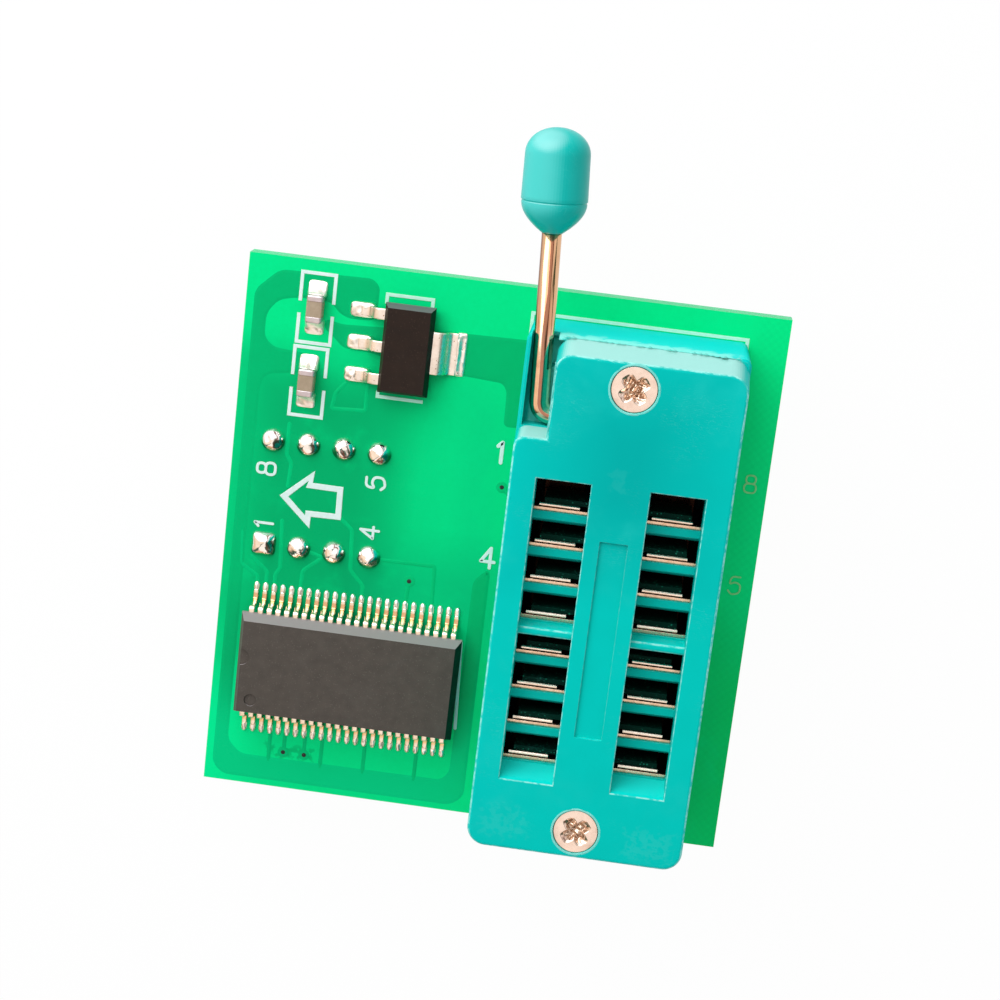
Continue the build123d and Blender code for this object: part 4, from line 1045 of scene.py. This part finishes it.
def bentStrip(look, wall, toe, y, halfWidth, high, low):
    # flat strip in the X-Z plane from the body's wall to its toe, a little thinner at its very end
    out, rise, stops = bentLine(look, wall, toe, high, low)
    run, least, narrower = look["taper"]
    taper = np.clip((stops[-1] - stops) / run, least, 1) ** 0.5
    halfWidth, halfThick = halfWidth - narrower * (1 - taper), look["thick"] / 2 * taper
    return carried(joined(out, y, rise), (0, 1, 0), halfWidth, halfThick, power=7.0, steps=28)


def makeRegulatorMetal(look):
    # three leads and a tab, and lumps of solder that climb each toe
    bodyLow, bodyHigh = place("regulator_body")
    low, high = place("regulator_leads")
    places = np.linspace(low[1] + look["leadHalf"], high[1] - look["leadHalf"], look["leads"])
    leads = [bentStrip(look, bodyLow[0], low[0], y, look["leadHalf"], high[2], low[2]) for y in places]
    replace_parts(addPiece("regulator_bent_leads", leads, broadTin, "board"), "regulator_leads")
    tabLow, tabHigh = place("regulator_tab")
    middle, half = (tabLow[1] + tabHigh[1]) / 2, (tabHigh[1] - tabLow[1]) / 2
    tab = bentStrip(look, bodyHigh[0], tabHigh[0], middle, half, tabHigh[2], tabLow[2])
    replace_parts(addPiece("regulator_bent_tab", [tab], broadTin, "board"), "regulator_tab")
    lumps = []
    for seed, y in enumerate(places):
        def height(x, y):
            climb, start, run, curve = look["solderClimb"]
            lump, size = look["solderLump"]
            rise = climb * np.clip((x - low[0] - start) / run, 0, 1) ** curve
            return look["solderHeight"] + rise + lump * ripple(x, y, 40 + seed, size)
        centre = (low[0] + look["solderOut"], y)
        lumps.append(mound(centre, look["solderHalf"], height, power=4.5, rim=5.0, steps=48))

    def tabHeight(x, y):
        (climb, run), (lump, size) = look["tabSolderClimb"], look["tabSolderLump"]
        rise = np.exp(-(((x - tabHigh[0]) / run) ** 2)) * climb
        return look["tabSolderHeight"] + rise + lump * ripple(x, y, 50, size)
    centre = (tabHigh[0] + look["tabSolderOut"], middle)
    lumps.append(mound(centre, look["tabSolderHalf"], tabHeight, power=7.0, rim=6.0, steps=72))
    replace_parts(addPiece("regulator_solder_lumps", lumps, padSolder, "board"), "regulator_solder")


makeRegulatorMetal(regulatorMetal)
print("regulator leads done")

capacitorMetal = dict(
    length=0.44, corner=0.16, rings=14, solderHalf=(0.69, 0.62), solderOut=0.3, solderHigh=0.62,
    solderLow=0.1, solderRun=0.85, solderCurve=2.2, solderLump=(0.05, 0.6),
)


def makeCapacitorMetal(look):
    # a rounded cap on each end of the ceramic, and solder that climbs it in a hollow curve
    lumps = []
    for number, name in enumerate(("input", "output")):
        low, high = place(name + "_capacitor_terminals")
        middle, half = (low + high) / 2, (high - low) / 2
        caps = []
        for side in (-1, 1):
            end = middle[1] + side * half[1]
            along = np.linspace(0, 1, look["rings"]) * look["length"]
            inset = look["corner"] * (1 - np.sqrt(1 - np.clip(1 - along / look["corner"], 0, 1) ** 2))
            path = joined(middle[0], end - side * along, middle[2])
            caps.append(carried(path, (1, 0, 0), half[0] - inset, half[2] - inset, power=7.0, steps=32))

            def height(x, y):
                lump, size = look["solderLump"]
                near = 1 - np.clip((y - end) * side / look["solderRun"], 0, 1)
                climb = look["solderHigh"] * near ** look["solderCurve"]
                return look["solderLow"] + climb + lump * ripple(x, y, 60 + number * 2 + side, size)
            centre = (middle[0], end + side * look["solderOut"])
            lumps.append(mound(centre, look["solderHalf"], height, power=5.0, rim=6.0))
        piece = addPiece(name + "_terminal_caps", caps, terminalMetal, "board")
        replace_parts(piece, name + "_capacitor_terminals")
    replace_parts(addPiece("capacitor_solder_lumps", lumps, padSolder, "board"), "capacitor_solder")


makeCapacitorMetal(capacitorMetal)
print("capacitor ends done")

coverScrews = dict(
    steps=96, rings=46, headHigh=0.8, crown=0.07, rim=0.1, turn=38.0, armLength=2.15, armWidth=0.88,
    depth=0.36,
    shallower=(1.1, -0.35),  # share of the depth at the middle, and its change towards the rim
    soft=(0.432, 0.24),  # how far an arm's end and its sides slope
    lump=0.14, lumpSizes=(0.55, 1.4), lumpsOutside=0.06, lumpsDown=0.4,
    fit=0.045,  # how far the head fills the gap in its counterbore
    shank=0.8, tip=0.7, burrRadii=(1.55, 1.6, 1.7, 1.74), burrShares=(-0.2, 1.0, 0.8, -0.2),
    burrHigh=0.02, burrRagged=0.012,
)


def screwPart(spot, top, foot, radius, look, seed):
    # crown that falls off outwards, less a cross of two bars with sloping walls; then rim, shank and tip
    angle = fullTurn(look["steps"])
    share = np.linspace(0.015, 1, look["rings"])[:, None]
    x, y = radius * share * np.cos(angle), radius * share * np.sin(angle)
    c, s = np.cos(np.radians(look["turn"])), np.sin(np.radians(look["turn"]))
    u, v = x * c + y * s, y * c - x * s

    def arm(along, across):
        sizes = zip((along, across), (look["armLength"], look["armWidth"]), look["soft"])
        inLength, inWidth = (np.clip((size / 2 - np.abs(place)) / soft, 0, 1) for place, size, soft in sizes)
        return inLength * inWidth
    recess = np.maximum(arm(u, v), arm(v, u))
    small, wide = (ripple(x, y, seed + k, size) for k, size in enumerate(look["lumpSizes"]))
    middle, change = look["shallower"]
    head = top - look["crown"] * share**3 - look["depth"] * recess * (middle + change * share)
    head = head + look["lump"] * (small * recess + look["lumpsOutside"] * wide - look["lumpsDown"])
    seat = top - look["headHigh"]
    radii = [radius, radius, look["shank"], look["shank"], 0.1]
    heights = [top - look["crown"] - look["rim"], seat, seat, foot + look["tip"], foot]
    lower = joined(np.outer(radii, np.cos(angle)), np.outer(radii, np.sin(angle)), np.array(heights)[:, None])
    return solid(np.concatenate([joined(x, y, head), lower]) + (spot[0], spot[1], 0.0))


def makeScrews(look):
    # the two screws, and a thin raised burr round each counterbore
    low, high = place("cover_screws")
    radius, middle = (high[0] - low[0]) / 2, (low[0] + high[0]) / 2
    spots = [(middle, high[1] - radius), (middle, low[1] + radius)]
    wide = radius + look["fit"]
    parts = [screwPart(spot, high[2], low[2], wide, look, 70 + 5 * k) for k, spot in enumerate(spots)]
    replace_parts(addPiece("cover_screw_pair", parts, screwMetal, "board"), "cover_screws")
    c, s = np.cos(fullTurn(look["steps"])), np.sin(fullTurn(look["steps"]))
    radii, shares = (np.array(look[key])[:, None] for key in ("burrRadii", "burrShares"))
    burrs = []
    for k, (x, y) in enumerate(spots):
        rise = look["burrHigh"] + look["burrRagged"] * ripple(c, s, 80 + k, 0.5)
        level = coverHigh[2] + shares * rise - sunkBy
        burrs.append(solid(joined(x + radii * c, y + radii * s, level), ring=True))
    # the burr's pale plastic is also a painted highlight on the counterbore's edge
    addPiece("counterbore_burrs", burrs, flashPlastic, "board")


makeScrews(coverScrews)
print("screws done")

lever = dict(
    lean=2.6,  # degrees, towards -X
    wire=0.665, wireSteps=40, rodInKnob=4.6, bends=(0.0, 1.0, 0.7, 0.7, 0.7, 0.7, 0.0),
    doubled=0.02,  # points of the rod's line nearer than this count as one
    sideways=(0.02, 0.01, 1),  # nearly upright, and nowhere along the rod
    crankWest=18.38, crankEast=23.58, jog=0.9, crank=0.4,
    knobStart=12.08, knobSteps=72,
    knobRows=(22, 11, 12, 26),  # of cup, groove, barrel and dome
    bottom=(0.5, 0.02), neck=0.68, footHigh=1.98, footRound=1.9, shoulder=2.17,
    groove=2.08, grooveDeep=0.055, grooveHalf=0.09,
    grooveStep=0.02,  # half of how much wider it ends than it starts
    barrel=2.21, barrelTop=2.15, domeStart=5.1, domeCurve=2.05, domeTip=0.001, length=6.86,
)


def makeLever(look):
    # a rod bent at the axle with a crank in it, and a knob turned about the rod's end
    axle = np.array(frame["joints"][0]["pos_m"]) / mm
    y, z = axle[1:]
    lean = np.radians(look["lean"])
    along = np.array([-np.sin(lean), np.cos(lean), 0.0])
    east, west, jog, crank = look["crankEast"], look["crankWest"], look["jog"], look["crank"]
    corners = [
        axle + along * (look["knobStart"] + look["rodInKnob"]),
        axle,
        (west - jog, y, z),
        (west, y - crank, z - crank),
        (east, y - crank, z - crank),
        (east + jog, y, z),
        (place("lever_rod")[1][0], y, z),
    ]
    path = roundedPath(corners, look["bends"], steps=12)
    path = path[np.append(True, np.linalg.norm(np.diff(path, axis=0), axis=1) > look["doubled"])]
    rod = carried(path, look["sideways"], look["wire"], look["wire"], steps=look["wireSteps"])
    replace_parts(addPiece("lever_bent_rod", [rod], rodMetal, "lever"), "lever_rod")

    # knob profile as (radius, distance along the rod): rounded cup, groove, nearly straight barrel, dome
    cupRows, grooveRows, barrelRows, domeRows = look["knobRows"]
    shoulder, barrel, top, start = look["shoulder"], look["barrel"], look["barrelTop"], look["domeStart"]
    t = np.linspace(0, 1, cupRows)
    wide = 1 - (1 - t) ** look["footRound"]
    cup = joined(look["neck"] + (shoulder - look["neck"]) * wide, look["footHigh"] * t)
    t = np.linspace(-1, 1, grooveRows)
    groove = look["groove"] + look["grooveHalf"] * t
    wide = shoulder - look["grooveDeep"] * (1 - t**2) ** 2 + look["grooveStep"] * (t + 1)
    groove = joined(wide, groove)
    t, grooveEnd = np.linspace(0, 1, barrelRows)[1:], look["groove"] + look["grooveHalf"]
    side = joined(barrel + (top - barrel) * t, grooveEnd + (start - grooveEnd) * t)
    turn = np.linspace(0, np.pi / 2, domeRows)[1:]
    c, s = (way(turn).clip(0) ** (2 / look["domeCurve"]) for way in (np.cos, np.sin))
    dome = joined(top * c + look["domeTip"], start + (look["length"] - start) * s)
    radius, run = np.concatenate([[look["bottom"]], cup, groove, side, dome]).T[..., None, None]
    angle = fullTurn(look["knobSteps"])[:, None]
    ring = np.cross(along, (0, 0, 1)) * np.cos(angle) + np.array([0, 0, 1]) * np.sin(angle)
    knob = solid(axle + along * (look["knobStart"] + run) + ring * radius)
    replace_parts(addPiece("lever_turned_knob", [knob], knobPlastic, "lever"), "lever_knob")


makeLever(lever)
print("lever done")

flash = dict(
    thin=0.02, overlap=0.01,
    joint=dict(start=15.9, end=27.6, steps=260, height=0.3, out=0.13, peakAt=26.4, peak=0.3, peakWidth=0.7),
    notch=dict(x=15.67, start=8.9, end=13.6, steps=150, half=0.05, lean=0.6, below=0.015, thin=0.7),
    # middle value, swing, seed, wavelength and limits of the waves that make each edge ragged
    jointWaves=[(0.5, 0.5, 90, 0.9, 0.1), (0.6, 0.6, 91, 0.25, 0.15)],
    peakWaves=(0.7, 0.4, 92, 0.4, 0), notchWaves=(0.5, 0.6, 93, 0.8, 0.15, 1.2),
)


def waves(run, middle, swing, seed, wavelength, low, high=1.0):
    # random waves about a middle value, kept between two limits
    return np.clip(middle + swing * ripple(run, run * 0, seed, wavelength), low, high)


def makeFlash(look):
    # ragged fins that the mould left: along the joint under the cover's north wall, and beside the notch
    joint, notch, thin = look["joint"], look["notch"], look["thin"]
    x = np.linspace(joint["start"], joint["end"], joint["steps"])
    rough = np.prod([waves(x, *row) for row in look["jointWaves"]], axis=0)
    peak = joint["peak"] * np.exp(-(((x - joint["peakAt"]) / joint["peakWidth"]) ** 2))
    height = joint["height"] * rough + peak * waves(x, *look["peakWaves"])
    path = joined(x, coverHigh[1] + joint["out"] * rough, baseTop + height / 2)
    fins = [carried(path, (0, 0, 1), height / 2 + look["overlap"], thin, steps=10)]
    y = np.linspace(notch["start"], notch["end"], notch["steps"])
    wide = notch["half"] * waves(y, *look["notchWaves"])
    path = joined(notch["x"] + wide * notch["lean"], y, coverHigh[2] - notch["below"])
    fins.append(carried(path, (1, 0, 0), wide, thin * notch["thin"], steps=10))
    addPiece("mould_flash", fins, flashPlastic, "board")


makeFlash(flash)
print("mould flash done")

white = (1.0, 1.0, 1.0, 1.0)
floorLook = dict(size=3.0, colour=(0.93, 0.93, 0.93, 1.0), cameraShare=0.97)


def makeFloor(look):
    # a pale matt floor under the pins; camera, glossy and transmission rays see it nearly white
    size, level = look["size"], place("header_pins_south")[0][2] * mm
    mesh = bpy.data.meshes.new("paleFloor")
    corners = [(-size, -size, level), (size, -size, level), (size, size, level), (-size, size, level)]
    mesh.from_pydata(corners, [], [(0, 1, 2, 3)])
    material = bpy.data.materials.new("paleFloor")
    tree = emptyTree(material)
    matt = addNode(tree, "BsdfDiffuse", {"Color": look["colour"]})
    bright = addNode(tree, "Emission", {"Color": white, "Strength": 1.0})
    path = addNode(tree, "LightPath").outputs
    seen = calc(tree, "MAXIMUM", path["Is Camera Ray"], path["Is Glossy Ray"])
    seen = calc(tree, "MAXIMUM", seen, path["Is Transmission Ray"])
    share = times(tree, seen, look["cameraShare"])
    mix = addNode(tree, "MixShader", {0: share, 1: matt.outputs[0], 2: bright.outputs[0]})
    addNode(tree, "OutputMaterial", {0: mix.outputs[0]})
    mesh.materials.append(material)
    addObject("paleFloor", mesh)


keyLamp = dict(toward=(-0.45, 0.7, 0.6), distance=0.18, size=0.17, power=0.28, colour=white[:3])


def addLamp(name, look):
    # a square lamp above the board, facing its middle
    toward = unit(np.array(look["toward"]))
    side = unit(np.cross((0, 0, 1), toward))
    data = bpy.data.lights.new(name, "AREA")
    data.shape, data.size = "SQUARE", look["size"]
    data.energy, data.color = look["power"], look["colour"]
    where = (boardLow + boardHigh) / 2 * mm + toward * look["distance"]
    addObject(name, data, where, (side, np.cross(toward, side), toward))


worldLook = dict(
    mattStrength=0.58, room=(0.07, 0.12, 0.08, 1.0), roomStrength=1.0,
    # soft panels that shiny metal mirrors: direction, how near it starts and is full, colour
    panels=[
        ((-0.93, -0.05, 0.35), 0.8, 0.9, (0.85, 0.55, 0.36, 1.0)),
        ((-0.7, -0.1, 0.7), 0.84, 0.93, (1.05, 0.84, 0.66, 1.0)),
        ((0.85, 0.1, 0.5), 0.86, 0.94, (0.95, 0.84, 0.8, 1.0)),
        ((-0.1, -0.97, 0.2), 0.93, 0.97, (0.9, 0.56, 0.38, 1.0)),
        ((-0.02, -0.75, 0.65), 0.9, 0.96, (1.15, 0.98, 0.88, 1.0)),
        ((0.0, -0.15, 1.0), 0.88, 0.94, (1.1, 0.98, 0.9, 1.0)),
        ((-0.25, 0.9, 0.35), 0.42, 0.58, (1.15, 1.14, 1.12, 1.0)),
    ],
    # a thin dark stripe across the sky from south to north, east of the zenith
    stripeAxis=(0.777, 0.0, -0.629), stripeEdges=(0.035, 0.075), stripe=(0.25, 0.07, 0.05, 1.0),
)


def makeWorld(look):
    # plain white light for matt surfaces; shiny ones mirror a warm room with soft bright panels
    world = bpy.context.scene.world = bpy.data.worlds.new("studio")
    tree = emptyTree(world)
    direction = addNode(tree, "TexCoord").outputs["Generated"]
    room = look["room"]
    for toward, start, full, colour in look["panels"]:
        facing = addVector(tree, "DOT_PRODUCT", direction, unit(np.array(toward)).tolist())
        room = mixColour(tree, addRange(tree, facing, start, full, smooth=True), room, colour)
    away = calc(tree, "ABSOLUTE", addVector(tree, "DOT_PRODUCT", direction, look["stripeAxis"]))
    room = mixColour(tree, addRange(tree, away, *look["stripeEdges"], 1, 0), room, look["stripe"])
    lights = []
    for colour, strength in ((white, look["mattStrength"]), (room, look["roomStrength"]), (white, 1.0)):
        lights.append(addNode(tree, "Background", {"Color": colour, "Strength": strength}).outputs[0])
    plain, mirrored, bright = lights
    path = addNode(tree, "LightPath").outputs
    light = addNode(tree, "MixShader", {0: path["Is Glossy Ray"], 1: plain, 2: mirrored}).outputs[0]
    seen = addNode(tree, "MixShader", {0: path["Is Camera Ray"], 1: light, 2: bright}).outputs[0]
    addNode(tree, "OutputWorld", {0: seen})


makeFloor(floorLook)
addLamp("keyLamp", keyLamp)
makeWorld(worldLook)
print("stage and light set")
